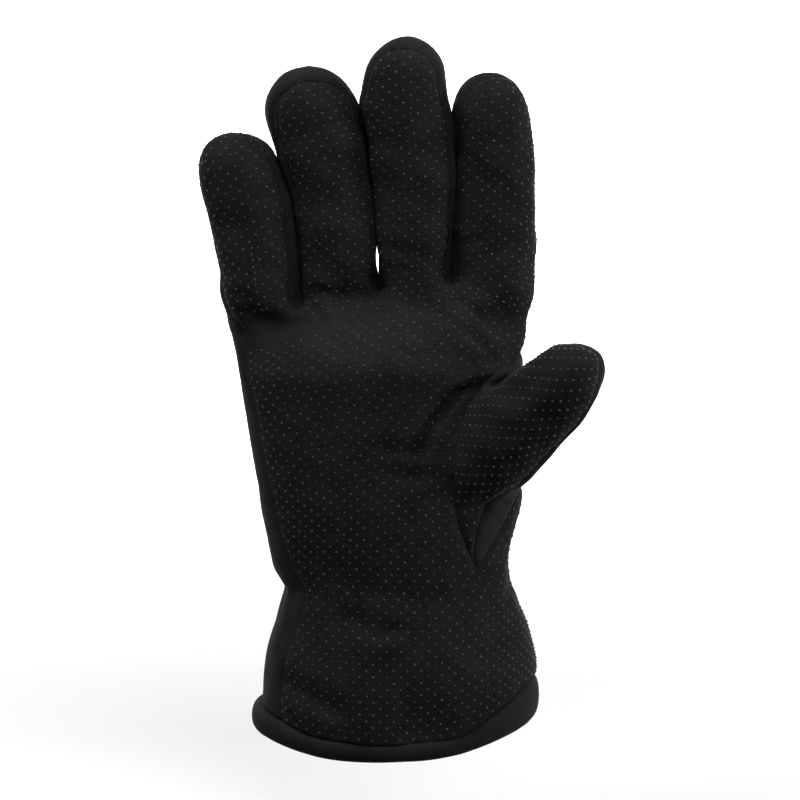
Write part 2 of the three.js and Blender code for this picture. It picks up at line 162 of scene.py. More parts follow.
# Folds of the palm side: depth and half width, then points (x, z), all in millimetres.
FOLDS = (
    (1.0, 2.0, ((-54.0, 162.0), (-47.0, 157.5), (-39.0, 157.0))),
    (0.5, 1.8, ((-58.0, 168.0), (-52.0, 166.0))),
    (0.9, 1.8, ((-30.5, 164.0), (-25.0, 155.0))),
    (1.0, 2.0, ((-31.0, 168.5), (-23.0, 166.5), (-17.0, 167.5))),
    (1.3, 1.8, ((-9.0, 175.0), (-6.0, 169.0))),
    (0.4, 2.0, ((-5.0, 185.0), (4.0, 182.5), (14.5, 180.0))),
    (0.5, 2.0, ((21.5, 185.0), (31.0, 186.5))),
    (0.9, 2.2, ((20.0, 166.0), (31.0, 159.0))),
    (0.8, 2.0, ((26.0, 154.0), (33.5, 147.0))),
    (0.9, 1.5, ((31.5, 136.0), (26.0, 133.5), (19.0, 131.5))),
    (-1.6, 2.6, ((32.0, 137.0), (40.0, 138.5), (46.5, 140.5))),
    (0.8, 2.2, ((28.0, 134.0), (19.5, 128.0), (13.5, 120.5), (9.5, 112.5), (8.5, 103.0))),
    (0.7, 2.6, ((-6.0, 113.0), (4.0, 111.0), (12.0, 112.5))),
    (0.6, 2.6, ((-4.0, 105.5), (6.0, 103.0), (13.0, 104.0))),
    (0.8, 3.2, ((-22.0, 53.0), (-10.0, 48.5), (2.0, 48.0))),
    (0.8, 2.0, ((-8.0, 43.5), (2.0, 47.5))),
    (1.2, 3.0, ((-42.0, 29.5), (-29.0, 22.0), (-17.0, 16.5))),
)

# The crease under the finger roots, where the fingers overhang the palm: x, z, and how deep it goes.
LEDGE = np.array([
    (-62.0, 157.5, 0.0), (-56.5, 156.2, 0.3), (-50.5, 155.9, 1.9), (-45.6, 155.8, 2.6),
    (-36.0, 155.5, 3.0), (-31.4, 157.6, 3.0), (-25.3, 163.3, 2.6), (-20.0, 164.4, 2.6),
    (-14.2, 164.8, 2.6), (-10.0, 166.9, 2.6), (-5.0, 172.0, 2.2), (-0.3, 176.0, 1.7), (6.8, 177.0, 1.5),
    (15.7, 177.0, 1.5), (20.7, 178.4, 1.4), (26.4, 180.2, 1.5), (34.7, 182.7, 1.2), (44.0, 184.0, 0.4)])
# How far its shadow side reaches above and below, and the most that all folds together sink.
LEDGE_ABOVE = 5.5
LEDGE_BELOW = 13.0
FOLD_LIMIT = 3.4

# How far the left and right edges of the hand move outward: height, distance.
LEFT_FIT = np.array([
    (8, 0), (20, -0.8), (46, -0.9), (58, 0), (88, 0.3), (96, 0), (138, -0.4), (145, -0.9), (152, 0),
    (157, 1.2), (167, 1.4), (174, 0.2), (200, 0.3), (215, -0.5), (230, 0)])
RIGHT_FIT = np.array([
    (8, 0), (15, 0.6), (20, 0), (28, -1.4), (52, -1.3), (58, 0.3), (64, 0.2), (74, -0.5), (90, -0.4),
    (100, 0), (145, -0.6), (157, -0.5), (166, 0.7), (185, 0.8), (192, 0), (238, -0.6), (250, 0)])

# Small moves of the tips' outlines: x, z, reach, then the move along x and z.
OUTLINE_NUDGES = np.array([
    (-53.4, 224.7, 8, 0.5, 1.0), (-46.0, 219.6, 6, 0.6, 0.8), (-47.7, 241.0, 8, 0.6, -0.2),
    (-15.7, 240.9, 7, -0.6, -0.2), (-12.8, 234.0, 6, -0.5, 0.0), (15.6, 253.5, 9, -0.8, -0.3),
    (19.4, 243.5, 8, -0.6, 0.0), (22.0, 236.9, 6, -0.7, 0.0), (26.7, 245.0, 8, -0.8, 0.6),
    (70.0, 141.0, 8, 0.2, 2.8), (75.0, 132.0, 8, -2.2, 0.0)])

# The wrist's gathers: depth, how many go round, and how much they wander; then its notch at the left edge.
GATHERS = ((0.12, 34, 2), (0.16, 19, 3))
WRIST_NOTCH = 1.2

# How the rows of grip dots rise to the right, where they start, how clear they stay of a seam and of
# each other, and the two steps of the thumb's pattern: along and round it.
ROW_SLANT = 0.18
FIRST_ROW = 8.5
DOT_TO_SEAM = 0.85
DOT_TO_DOT = 1.7
# How far past a finger's cap its rows go, as a share of the length, and how round the two kinds of tip are.
ROWS_PAST_CAP = 0.26
FINGER_TIP_ROUND = 14.5
THUMB_TIP_ROUND = 12.5
LEAST_COSINE = 0.35
THUMB_LATTICE = np.array([(2.02, 1.87), (-3.07, 2.06)])

# How far the groove over the hem lies above or below its even curve along the front: x, distance.
HEM_SHIFT = np.array([
    (-53, -1.5), (-46, -3.4), (-30, -4.3), (0, -3.8), (20, -4.0), (27, -2.6), (36, 1.5), (46, 4.8),
    (53, 5.5)])
# The same along the back.
HEM_SHIFT_BACK = np.array([(-40, -1.8), (15, -1.8), (48, 4)])
# How far the roll's underside hangs below its even curve, and how far the roll is set to the left.
HEM_DROP = np.array([(-45, 0.7), (-25, 0.9), (5, 0.2), (25, 0.9), (40, 0.2)])
HEM_ASIDE = np.array([(-50, 2.8), (20, 2.4), (50, 0.6)])
# The groove above the hem line, the roll's middle inside the cuff's face, its half thickness, and how far
# it reaches up over the groove.
HEM_GROOVE = 0.6
HEM_INSET = 2.9
HEM_THICKNESS = 4.1
HEM_OVERLAP = 0.9

# Where the padding of the palm side stands out or sinks: how far, x, z, half width and half height.
PALM_FORM = np.array([
    (3.2, -12.0, 141.0, 42.0, 12.0),
    (-1.2, 0.0, 104.0, 28.0, 18.0),
    (2.4, 2.0, 56.0, 38.0, 15.0)])

PANEL_NODES = {
    "palm_cloth": ("grip_cloth", ("palm_panel",)),
    "thumb_front_cloth": ("grip_cloth", ("thumb_front",)),
    "thumb_back_cloth": ("shell_cloth", ("thumb_back",)),
    "strip_cloth_little_ring": ("shell_cloth", ("strip_little_ring",)),
    "strip_cloth_ring_middle": ("shell_cloth", ("strip_ring_middle",)),
    "strip_cloth_middle_index": ("shell_cloth", ("strip_middle_index",)),
    "back_cloth": ("shell_cloth", (
        "back_cuff", "back_panel", "back_little", "back_ring", "back_middle", "back_index")),
}
PANELS = list(PANEL_NODES)
PALM, THUMB_FRONT, THUMB_BACK_PANEL, STRIP_FIRST, BACK = 0, 1, 2, 3, 6

# The pressure run that swells the padding: face size, the most it moves, frames, and the cloth's values.
SWELL_STEP = 4.2
SWELL_CAP = 1.4
SWELL_FRAMES = 20
SWELL_CLOTH = {
    "quality": 6,
    "mass": 0.25,
    "tension_stiffness": 22,
    "compression_stiffness": 22,
    "shear_stiffness": 8,
    "bending_stiffness": 0.35,
    "shrink_min": -0.035,
    "use_pressure": True,
    "uniform_pressure_force": 4,
    "pin_stiffness": 1.0,
}

# Painted light: a pool of lighter colour on the cloth for light falling on the upper palm, and a painted
# highlight on the thumb's leaf for light from the right; in metres: middle, reach, amount.
PALM_PAINTED_LIGHT = ((-0.008, 0, 0.149), (0.045, 10, 0.02), 0.3)
LEAF_PAINTED_LIGHT = ((0.037, -0.012, 0.077), (0.010, 0.02, 0.022), 0.9)

# The bowl that serves as floor and wall: reach of the flat, radius of the curve, top of the wall, sides.
FLOOR_REACH = 1500
BOWL_CURVE = 600
WALL_TOP = 2600
BOWL_SIDES = 96
# name, place, target, size, share of the key light's power, spread in degrees
LIGHTS = (
    ("key_light", (-0.5, -0.3, 0.8), (0, 0, 0.17), (0.4, 0.3), 1.0, 80),
    ("near_light", (0.1, -0.35, 0.55), (0, 0, 0.18), (0.3, 0.2), 0.62, 100),
    ("side_light", (1.2, -0.2, 0.3), (0, 0, 0.13), (0.4, 0.5), 1.5, 60),
    ("back_wall_light", (0, 1.1, 1.9), (0, 2.0, 0.1), (2.2, 0.5), 80, 100),
    ("front_wall_light", (0, -1.3, 1.9), (0, -2.1, 0.1), (2.2, 0.5), 45, 100),
    ("left_wall_light", (-1.3, 0, 1.9), (-2.1, 0, 0.1), (0.5, 2.2), 45, 100),
    ("right_wall_light", (1.3, 0, 1.9), (2.1, 0, 0.1), (0.5, 2.2), 45, 100),
)
# The picture's sizes: pixels across, millimetres in one pixel, and the point at its middle.
PICTURE_WIDTH = 800
PIXEL = 0.366
PICTURE_MIDDLE = (1.46, 0, 127.5)


# Sizes of the form


def smooth_table(rows):
    """A smooth reading of a table by its first column, for any array of places."""
    at, values = rows[:, 0], rows[:, 1:]
    slope = np.empty_like(values)
    slope[1:-1] = (values[2:] - values[:-2]) / (at[2:] - at[:-2])[:, None]
    slope[0] = (values[1] - values[0]) / (at[1] - at[0])
    slope[-1] = (values[-1] - values[-2]) / (at[-1] - at[-2])

    def read(place):
        place = np.clip(np.asarray(place, float), at[0], at[-1])
        k = np.clip(np.searchsorted(at, place, side="right") - 1, 0, len(at) - 2)
        span = (at[k + 1] - at[k])
        t = ((place - at[k]) / span)[..., None]
        span = span[..., None]
        return (values[k] * (1 + 2 * t) * (1 - t) ** 2 + slope[k] * span * t * (1 - t) ** 2
                + values[k + 1] * t * t * (3 - 2 * t) + slope[k + 1] * span * t * t * (t - 1))

    return read


body_at = smooth_table(BODY_ROWS)
grooves_at = smooth_table(GROOVE_ROWS)
thumb_at = smooth_table(THUMB_ROWS)
side_seam_at = smooth_table(SIDE_SEAM)


def smooth_step(value, low, high):
    t = np.clip((value - low) / (high - low), 0, 1)
    return t * t * (3 - 2 * t)


def along_table(place, table):
    """Second column of a table, read straight between its rows."""
    return np.interp(place, table[:, 0], table[:, 1])


def lift_of(x, z):
    """How far the hem's rise at the sides and the roots' slope move a level ring."""
    near_hem = np.clip(1 - np.maximum(0, z - HEM_LINE) / (CUFF_HEIGHT - HEM_LINE), 0, 1)
    near_root = smooth_step(z, ROOT - PALM_HEIGHT / 4, ROOT)
    return (HEM_RISE * (x / (CUFF_WIDTH / 2)) ** 2 + HEM_TILT * x) * near_hem + ROOT_SLOPE * x * near_root


def oval(centre, side, back, count, power=ROUNDNESS):
    """Points round an oval, starting at its right edge."""
    turn = np.linspace(0, 2 * math.pi, count, endpoint=False)
    across = np.sign(np.cos(turn)) * np.abs(np.cos(turn)) ** (2 / power)
    deep = np.sign(np.sin(turn)) * np.abs(np.sin(turn)) ** (2 / power)
    return np.asarray(centre) + across[:, None] * np.asarray(side) + deep[:, None] * np.asarray(back)


def body_ring(z, inset, count):
    left, right, front, back = body_at(z)
    points = oval(((left + right) / 2, (front + back) / 2, z),
                  ((right - left) / 2 - inset, 0, 0), (0, (back - front) / 2 - inset, 0), count)
    points[:, 2] += lift_of(points[:, 0], z)
    return points


def finger_section(number, up, inset=0.0):
    """Centre (x, y, z), half width and half depth of a finger at shares of its length above the roots."""
    cap, tip, tip_at, forward = FINGER_ROWS[number][:4]
    up = np.asarray(up, float)
    lines = grooves_at(np.minimum(up, cap)) * PALM_WIDTH
    left = lines[..., number] + FINGER_GAP / 2
    right = lines[..., number + 1] - FINGER_GAP / 2
    lean = np.clip((up - cap) / (tip - cap), 0, 1)
    middle = (left + right) / 2 * (1 - lean) + tip_at * PALM_WIDTH * lean
    depth_at = -forward * FINGER_DEPTH - FINGER_CURL * np.maximum(0, up) ** 2
    deep = FINGER_DEPTH * (0.5 + np.minimum(0, up) * 0.8) - inset
    return middle, depth_at, ROOT + up * FINGER_LENGTH, (right - left) / 2 - inset, deep


def spread_of(number, z, amount):
    """Sideways shift that parts the fingers while the skin is made, so that they don't grow together."""
    return (number - 1.5) * amount * smooth_step(z, ROOT - 6, ROOT + 12)


def rounded_places(start, cap, tip, count):
    """Places along a finger with their share of its full section: full to the cap, then round to the tip."""
    places = [(up, 1.0) for up in np.linspace(start, cap, count)[:-1]]
    for turn in np.linspace(0, ROUNDING_STOP, 14):
        places.append((cap + (tip - cap) * math.sin(turn), math.cos(turn)))
    return places


def finger_rings(number, inset, count, amount=0.0):
    cap, tip = FINGER_ROWS[number][:2]
    rings = []
    for up, shrink in rounded_places(FINGER_START, cap, tip - inset / FINGER_LENGTH, 40):
        x, y, z, half, deep = finger_section(number, up, inset)
        x = x + spread_of(number, z, amount)
        rings.append(oval((x, y, z), (half * shrink, 0, 0), (0, deep * shrink, 0), count))
    return rings


def thumb_point(along):
    return THUMB_START + THUMB_WAY * THUMB_LENGTH * along


def thumb_rings(inset, count):
    cap = THUMB_ROWS[-1, 0]
    rings = []
    for along, shrink in rounded_places(THUMB_ROWS[0, 0], cap, 1 - inset / THUMB_LENGTH, 36):
        wide, deep = thumb_at(min(along, cap))
        rings.append(oval(thumb_point(along), THUMB_SIDE * (wide * THUMB_WIDTH - inset) * shrink,
                          THUMB_BACK * (deep * THUMB_WIDTH - inset) * shrink, count, 2))
    return rings


# Mesh tools


def loft(rings, endless=False):
    """Vertices and triangles of a closed body through rings of points."""
    count = len(rings[0])
    spans = len(rings) if endless else len(rings) - 1
    k = np.arange(count)
    faces = []
    for ring in range(spans):
        a, b = ring * count, (ring + 1) % len(rings) * count
        nxt = (k + 1) % count
        faces.append(np.stack([a + k, a + nxt, b + nxt], 1))
        faces.append(np.stack([a + k, b + nxt, b + k], 1))
    if not endless:
        last = (len(rings) - 1) * count
        fan = np.arange(1, count - 1)
        faces.append(np.stack([0 * fan, fan + 1, fan], 1))
        faces.append(np.stack([0 * fan + last, last + fan, last + fan + 1], 1))
    return np.concatenate(rings), np.concatenate(faces)


def joined(parts):
    points, faces, base = [], [], 0
    for verts, tris in parts:
        points.append(verts)
        faces.append(tris + base)
        base += len(verts)
    return np.concatenate(points), np.concatenate(faces)


def pressed_fingers(points, owner):
    """Moves the fingers' sides until neighbours just touch; owner is the number of each point's finger."""
    heights = points[:, 2]
    up = np.clip((heights - ROOT) / FINGER_LENGTH, GROOVE_ROWS[0, 0], GROOVE_ROWS[-1, 0])
    lines = grooves_at(up) * PALM_WIDTH
    levels = np.arange(ROOT - 2, ROOT + FINGER_LENGTH, 1.5)
    changed = points.copy()
    for k in (1, 2, 3):
        cap, tip = min(map(tuple, FINGER_ROWS[k - 1:k + 1]))[:2]
        low, high = ROOT + cap * FINGER_LENGTH, ROOT + tip * FINGER_LENGTH
        root = ROOT + ROOT_SLOPE * grooves_at(0.0)[k] * PALM_WIDTH
        share = smooth_step(heights, root, root + 5)
        share *= 1 - smooth_step(heights, low - 2, low + (high - low) * 0.5)
        slit = 0.42 * np.exp(-((heights - 179) / 3.6) ** 4) if k == 2 else 0.0
        for side in (-1, 1):
            mine = owner == (k if side > 0 else k - 1)
            gap = np.where(mine, (points[:, 0] - lines[:, k]) * side, 99)
            nearest = np.array([gap[np.abs(heights - level) < 1.5].min(initial=99) for level in levels])
            nearest = np.pad(np.where(nearest > 8, 0.0, nearest), 1, "edge")
            nearest = np.interp(heights, levels, np.convolve(nearest, np.ones(3) / 3, "valid"))
            reach = (nearest + 0.8 - slit) * np.exp(-((gap - nearest) / 3.8) ** 2) * share
            pressed = np.maximum(gap - reach, np.minimum(gap, 0.03 + slit))
            changed[:, 0] += np.where(mine, side * (pressed - gap), 0)
    return changed


def new_mesh(name, points_mm, faces):
    """A mesh object from millimetre points, smooth shaded."""
    mesh = bpy.data.meshes.new(name)
    faces = np.asarray(faces, np.int32)
    size = faces.shape[1]
    mesh.vertices.add(len(points_mm))
    mesh.vertices.foreach_set("co", (np.asarray(points_mm, np.float32) * MM).ravel())
    mesh.loops.add(faces.size)
    mesh.loops.foreach_set("vertex_index", faces.ravel())
    mesh.polygons.add(len(faces))
    mesh.polygons.foreach_set("loop_start", np.arange(0, faces.size, size, dtype=np.int32))
    mesh.update(calc_edges=True)
    mesh.polygons.foreach_set("use_smooth", np.ones(len(faces), bool))
    mesh.validate()
    obj = bpy.data.objects.new(name, mesh)
    bpy.context.scene.collection.objects.link(obj)
    return obj


def discard(obj):
    mesh = obj.data
    bpy.data.objects.remove(obj)
    bpy.data.meshes.remove(mesh)


def coordinates_of(mesh):
    values = np.empty(len(mesh.vertices) * 3, np.float32)
    mesh.vertices.foreach_get("co", values)
    return values.reshape(-1, 3)


def search_tree(spots):
    """Tree that finds the nearest of some points, numbered in their order."""
    tree = KDTree(len(spots))
    for k, spot in enumerate(spots):
        tree.insert(Vector(spot), k)
    tree.balance()
    return tree


def remeshed(points_mm, faces, step_mm):
    """Joins overlapping closed bodies into one skin of small even faces."""
    obj = new_mesh("skin_work", points_mm, faces)
    remesh = obj.modifiers.new("Join", "REMESH")
    remesh.mode = "VOXEL"
    remesh.voxel_size = step_mm * MM
    graph = bpy.context.evaluated_depsgraph_get()
    made = obj.evaluated_get(graph).to_mesh()
    made.calc_loop_triangles()
    verts = coordinates_of(made).astype(float) / MM
    tris = np.empty(len(made.loop_triangles) * 3, np.int32)
    made.loop_triangles.foreach_get("vertices", tris)
    discard(obj)
    return verts, tris.reshape(-1, 3)


def sides_of(faces):
    """The three sides of every triangle, each as a pair of points."""
    return np.concatenate([faces[:, [0, 1]], faces[:, [1, 2]], faces[:, [2, 0]]])


def relaxed(points, faces, rounds, amount=0.5, hold=None):
    """Laplacian smoothing; hold is a weight per vertex from 0, free, to 1, still."""
    a, b = np.unique(np.sort(sides_of(faces), axis=1), axis=0).T
    count = len(points)
    valence = np.maximum(np.bincount(a, minlength=count) + np.bincount(b, minlength=count), 1)
    move = amount if hold is None else (amount * (1 - hold))[:, None]
    for _ in range(rounds):
        total = np.empty_like(points)
        for axis in range(3):
            total[:, axis] = np.bincount(a, points[b, axis], count) + np.bincount(b, points[a, axis], count)
        points = points + (total / valence[:, None] - points) * move
    return points


def vertex_normals(points, faces):
    a, b, c = points[faces[:, 0]], points[faces[:, 1]], points[faces[:, 2]]
    face_normal = np.cross(b - a, c - a)
    total = np.zeros_like(points)
    for corner in range(3):
        for axis in range(3):
            total[:, axis] += np.bincount(faces[:, corner], face_normal[:, axis], len(points))
    return total / np.maximum(np.linalg.norm(total, axis=1), 1e-12)[:, None]


def cut_along(points, faces, field, snap=0.16):
    """Cuts the triangles where field(points) is nought, so that no face crosses that line."""
    value = field(points)
    value = np.where(np.abs(value) < snap, 0.0, value)
    corner = value[faces]
    crossing = (corner.max(1) > 0) & (corner.min(1) < 0)
    whole = faces[~crossing]
    cut = faces[crossing]
    if not len(cut):
        return points, faces
    pairs = sides_of(cut)
    pairs = pairs[value[pairs[:, 0]] * value[pairs[:, 1]] < 0]
    pairs = np.unique(np.sort(pairs, axis=1), axis=0)
    share = value[pairs[:, 0]] / (value[pairs[:, 0]] - value[pairs[:, 1]])
    added = points[pairs[:, 0]] * (1 - share)[:, None] + points[pairs[:, 1]] * share[:, None]
    number = {(int(a), int(b)): len(points) + k for k, (a, b) in enumerate(pairs)}
    made = []
    for tri in cut:
        ring = []
        for k in range(3):
            a, b = int(tri[k]), int(tri[(k + 1) % 3])
            ring.append((a, value[a]))
            if value[a] * value[b] < 0:
                ring.append((number[(a, b) if a < b else (b, a)], 0.0))
        for side in (1, -1):
            part = [index for index, v in ring if v * side >= 0]
            for k in range(1, len(part) - 1):
                made.append((part[0], part[k], part[k + 1]))
    return np.concatenate([points, added]), np.concatenate([whole, np.array(made, faces.dtype)])


def outline_distance(points, outline):
    """Signed distance, seen from the palm side, to an outline: above nought inside it."""
    corners = outline * (PALM_WIDTH, PALM_HEIGHT) + (0, CUFF_HEIGHT)
    spot = points[:, [0, 2]]
    best = np.full(len(spot), 1e9)
    inside = np.zeros(len(spot), bool)
    for a, b in zip(corners, np.roll(corners, -1, 0)):
        way = b - a
        t = np.clip(((spot - a) @ way) / (way @ way), 0, 1)
        best = np.minimum(best, np.linalg.norm(spot - a - t[:, None] * way, axis=1))
        crosses = (a[1] > spot[:, 1]) != (b[1] > spot[:, 1])
        with np.errstate(divide="ignore", invalid="ignore"):
            at = a[0] + (spot[:, 1] - a[1]) * way[0] / way[1]
        inside ^= crosses & (spot[:, 0] < at)
    return np.where(inside, best, -best)


def line_distance(spot, line):
    """Distance to a broken line and the share along it, for points in the plane of the palm."""
    line = np.asarray(line, float)
    lengths = np.linalg.norm(np.diff(line, axis=0), axis=1)
    run = np.concatenate([[0], np.cumsum(lengths)])
    best = np.full(len(spot), 1e9)
    along = np.zeros(len(spot))
    for k, (a, b) in enumerate(zip(line[:-1], line[1:])):
        way = b - a
        t = np.clip(((spot - a) @ way) / (way @ way), 0, 1)
        gap = np.linalg.norm(spot - a - t[:, None] * way, axis=1)
        closer = gap < best
        best = np.where(closer, gap, best)
        along = np.where(closer, (run[k] + t * lengths[k]) / run[-1], along)
    return best, along


def ripple(points, size, seed):
    """Soft seeded unevenness from -1 to 1 with features of about the given size in millimetres."""
    spot = points / size + seed
    return np.array([noise.noise(Vector(p)) for p in spot])


# Seams


def finger_of(points):
    """Number of each point's finger, its share of the length, and its place across from -1 to 1."""
    up = (points[:, 2] - ROOT) / FINGER_LENGTH
    lines = grooves_at(np.clip(up, GROOVE_ROWS[0, 0], GROOVE_ROWS[-1, 0])) * PALM_WIDTH
    number = (points[:, 0][:, None] > lines[:, 1:4]).sum(1)
    across = np.zeros(len(points))
    for k in range(4):
        x, _, _, half, _ = finger_section(k, up)
        mine = number == k
        across[mine] = ((points[:, 0] - x) / np.maximum(half + FINGER_GAP / 2, 1))[mine]
    return number, up, np.clip(across, -1, 1)


def finger_seam(points, kind):
    """How far back the front or the back seam of the fingers lies beside each point."""
    number, up, across = finger_of(points)
    rows = FINGER_ROWS[number]
    share = np.clip(up / rows[:, 1], 0, 1)
    t = (across + 1) / 2
    at_root = rows[:, 4] * (1 - t) + rows[:, 5] * t
    at_tip = rows[:, 6] + (rows[:, 7] - rows[:, 6]) * t ** np.where(number == 0, 3, 1)
    if kind == "back":
        at_root = np.full(len(points), BACK_SEAM_ROOT)
        at_tip = at_tip - BACK_SEAM_PAST_TIP
    centre = -rows[:, 3] * FINGER_DEPTH - FINGER_CURL * np.maximum(0, up) ** 2
    return centre + (at_root * (1 - share) + at_tip * share) * FINGER_DEPTH


def front_field(points):
    """Above nought on the dotted side of the hand's front seam."""
    side = side_seam_at(points[:, 2] / ROOT) * PALM_DEPTH
    t = np.clip(points[:, 0] / SIDE_SEAM_FLAT, -1, 1) / 2 + 0.5
    hand = side[:, 0] * (1 - t) + side[:, 1] * t
    near = smooth_step(points[:, 2], ROOT - 12, ROOT + 2)
    return hand * (1 - near) + finger_seam(points, "front") * near - points[:, 1]


def back_field(points):
    return finger_seam(points, "back") - points[:, 1]


def strip_field(points):
    """Above nought on the halves of the fingers that face a neighbour, above the palm."""
    number, _, across = finger_of(points)
    outer = ((number == 0) & (across < 0)) | ((number == 3) & (across > 0))
    reach = np.abs(across) * 12
    return np.minimum(np.where(outer, -reach, reach), points[:, 2] - (ROOT - 13))


def thumb_field(points):
    return np.minimum(outline_distance(points, THUMB_OUTLINE), THUMB_CUT - points[:, 1])


def leaf_field(points):
    return outline_distance(points, LEAF_OUTLINE)


def thumb_front_field(points):
    rel = points - THUMB_START
    across = rel @ THUMB_SIDE / THUMB_WIDTH
    deep = rel @ THUMB_BACK
    return np.interp(across, THUMB_SEAM[:, 0], THUMB_SEAM[:, 1]) * THUMB_WIDTH - deep


def hem_line(points):
    """Height of the groove over the hem: low along the front, high at the right edge."""
    front = smooth_step(-points[:, 1], -16, 16)
    shift = along_table(points[:, 0], HEM_SHIFT) * front
    shift += along_table(points[:, 0], HEM_SHIFT_BACK) * (1 - front)
    return HEM_LINE + HEM_GROOVE + lift_of(points[:, 0], HEM_LINE) + shift


def hem_field(points):
    return points[:, 2] - hem_line(points)


def lining_field(points):
    """Above nought where the lining is kept, which ends hidden behind the hem."""
    return hem_field(points) + LINING_BELOW_GROOVE


def panels_of(points):
    """Which panel each point lies on."""
    panel = np.full(len(points), BACK)
    front = front_field(points) > 0
    strip = ~front & (back_field(points) > 0) & (strip_field(points) > 0)
    number, _, across = finger_of(points)
    gap = np.clip(np.where(across > 0, number, number - 1), 0, 2)
    panel[strip] = STRIP_FIRST + gap[strip]
    panel[front] = PALM
    thumb = thumb_field(points) > 0
    thumb_front = thumb & (thumb_front_field(points) > 0) & (leaf_field(points) <= 0)
    panel[thumb] = THUMB_BACK_PANEL
    panel[thumb_front] = THUMB_FRONT
    return panel


def fingers_back_together(points, amount):
    """Takes out the sideways shift that parted the fingers while the skin was made."""
    z = points[:, 2]
    up = np.clip((z - ROOT) / FINGER_LENGTH, GROOVE_ROWS[0, 0], GROOVE_ROWS[-1, 0])
    lines = grooves_at(up) * PALM_WIDTH
    x = points[:, 0].copy()
    shifts = [spread_of(k, z, amount) for k in range(4)]
    knots = []
    for k in range(4):
        knots += [(lines[:, k] + FINGER_GAP / 2, shifts[k]), (lines[:, k + 1] - FINGER_GAP / 2, shifts[k])]
    moved = [place + shift for place, shift in knots]
    result = x - knots[0][1]
    for j in range(7):
        low, high = moved[j], moved[j + 1]
        t = np.clip((x - low) / np.maximum(high - low, 1e-6), 0, 1)
        inside = (x >= low) & (x < high)
        result = np.where(inside, knots[j][0] * (1 - t) + knots[j + 1][0] * t, result)
    result = np.where(x >= moved[7], x - knots[7][1], result)
    changed = points.copy()
    changed[:, 0] = result
    return changed


# Settings


class GloveClothSettings(bpy.types.PropertyGroup):
    """Sizes of the cloth, its seams and folds."""

    skin_step: bpy.props.FloatProperty(
        name="Skin step", description="Size of the faces that the cloth is made of",
        default=0.00115, min=0.0008, max=0.004, subtype="DISTANCE", unit="LENGTH", precision=5)
    cloth_thickness: bpy.props.FloatProperty(
        name="Cloth thickness", description="Outer cloth with the wadding that is sewn to it",
        default=0.0016, min=0.0005, max=0.004, subtype="DISTANCE", unit="LENGTH", precision=4)
    seam_depth: bpy.props.FloatProperty(
        name="Seam depth", description="How far a seam sinks between its panels",
        default=0.001, min=0.0, max=0.004, subtype="DISTANCE", unit="LENGTH", precision=4)
    seam_width: bpy.props.FloatProperty(
        name="Seam width", description="Half width of the sunken line along a seam",
        default=0.0014, min=0.0005, max=0.006, subtype="DISTANCE", unit="LENGTH", precision=4)
    fold_strength: bpy.props.FloatProperty(
        name="Fold strength", description="Share of the measured depth that the folds get",
        default=1.0, min=0.0, max=2.0, subtype="FACTOR")
    puff: bpy.props.FloatProperty(
        name="Padding swell", description="How far the padding swells between seams",
        default=0.0006, min=0.0, max=0.003, subtype="DISTANCE", unit="LENGTH", precision=4)


class GloveDotSettings(bpy.types.PropertyGroup):
    """Sizes of the raised grip dots."""

    column_pitch: bpy.props.FloatProperty(
        name="Column pitch", description="Distance between columns of dots",
        default=0.00242, min=0.001, max=0.01, subtype="DISTANCE", unit="LENGTH", precision=5)
    row_pitch: bpy.props.FloatProperty(
        name="Row pitch", description="Distance between dots of one column",
        default=0.0045, min=0.001, max=0.02, subtype="DISTANCE", unit="LENGTH", precision=5)
    radius: bpy.props.FloatProperty(
        name="Dot radius", description="Radius of one dot",
        default=0.00043, min=0.0001, max=0.003, subtype="DISTANCE", unit="LENGTH", precision=5)
    height: bpy.props.FloatProperty(
        name="Dot height", description="How far a dot stands out of the cloth",
        default=0.00034, min=0.0001, max=0.002, subtype="DISTANCE", unit="LENGTH", precision=5)


class GloveColourSettings(bpy.types.PropertyGroup):
    """Colours of the cloths and dots."""

    grip_cloth: bpy.props.FloatVectorProperty(
        name="Grip cloth", description="Colour of the dotted knit", subtype="COLOR", size=3,
        default=(0.0074, 0.0074, 0.0077), min=0.0, max=1.0)
    shell_cloth: bpy.props.FloatVectorProperty(
        name="Shell cloth", description="Colour of the plain cloth", subtype="COLOR", size=3,
        default=(0.0084, 0.0084, 0.0087), min=0.0, max=1.0)
    hem_cloth: bpy.props.FloatVectorProperty(
        name="Hem cloth", description="Colour of the rolled hem", subtype="COLOR", size=3,
        default=(0.0112, 0.0112, 0.0115), min=0.0, max=1.0)
    dots: bpy.props.FloatVectorProperty(
        name="Grip dots", description="Colour of the raised dots", subtype="COLOR", size=3,
        default=(0.0152, 0.0152, 0.0155), min=0.0, max=1.0)
    lining: bpy.props.FloatVectorProperty(
        name="Lining", description="Colour of the fleece inside", subtype="COLOR", size=3,
        default=(0.011, 0.011, 0.0112), min=0.0, max=1.0)


class GloveStageSettings(bpy.types.PropertyGroup):
    """Floor, light and camera."""

    floor_colour: bpy.props.FloatVectorProperty(
        name="Floor colour", description="Colour of the floor and the wall behind", subtype="COLOR", size=3,
        default=(0.76, 0.76, 0.76), min=0.0, max=1.0)
    floor_height: bpy.props.FloatProperty(
        name="Floor height", description="Height of the floor below the glove's hem",
        default=-0.045, min=-1.0, max=0.0, subtype="DISTANCE", unit="LENGTH")
    key_power: bpy.props.FloatProperty(
        name="Key light", description="Power of the main soft light",
        default=1.11, min=0.0, max=500.0, unit="POWER")
    camera_tilt: bpy.props.FloatProperty(
        name="Camera tilt", description="How far above level the camera stands",
        default=math.radians(6), min=-1.5, max=1.5, subtype="ANGLE", unit="ROTATION")
    camera_distance: bpy.props.FloatProperty(
        name="Camera distance", description="Distance from the camera to the glove",
        default=1.0, min=0.2, max=10.0, subtype="DISTANCE", unit="LENGTH")


# Finishes


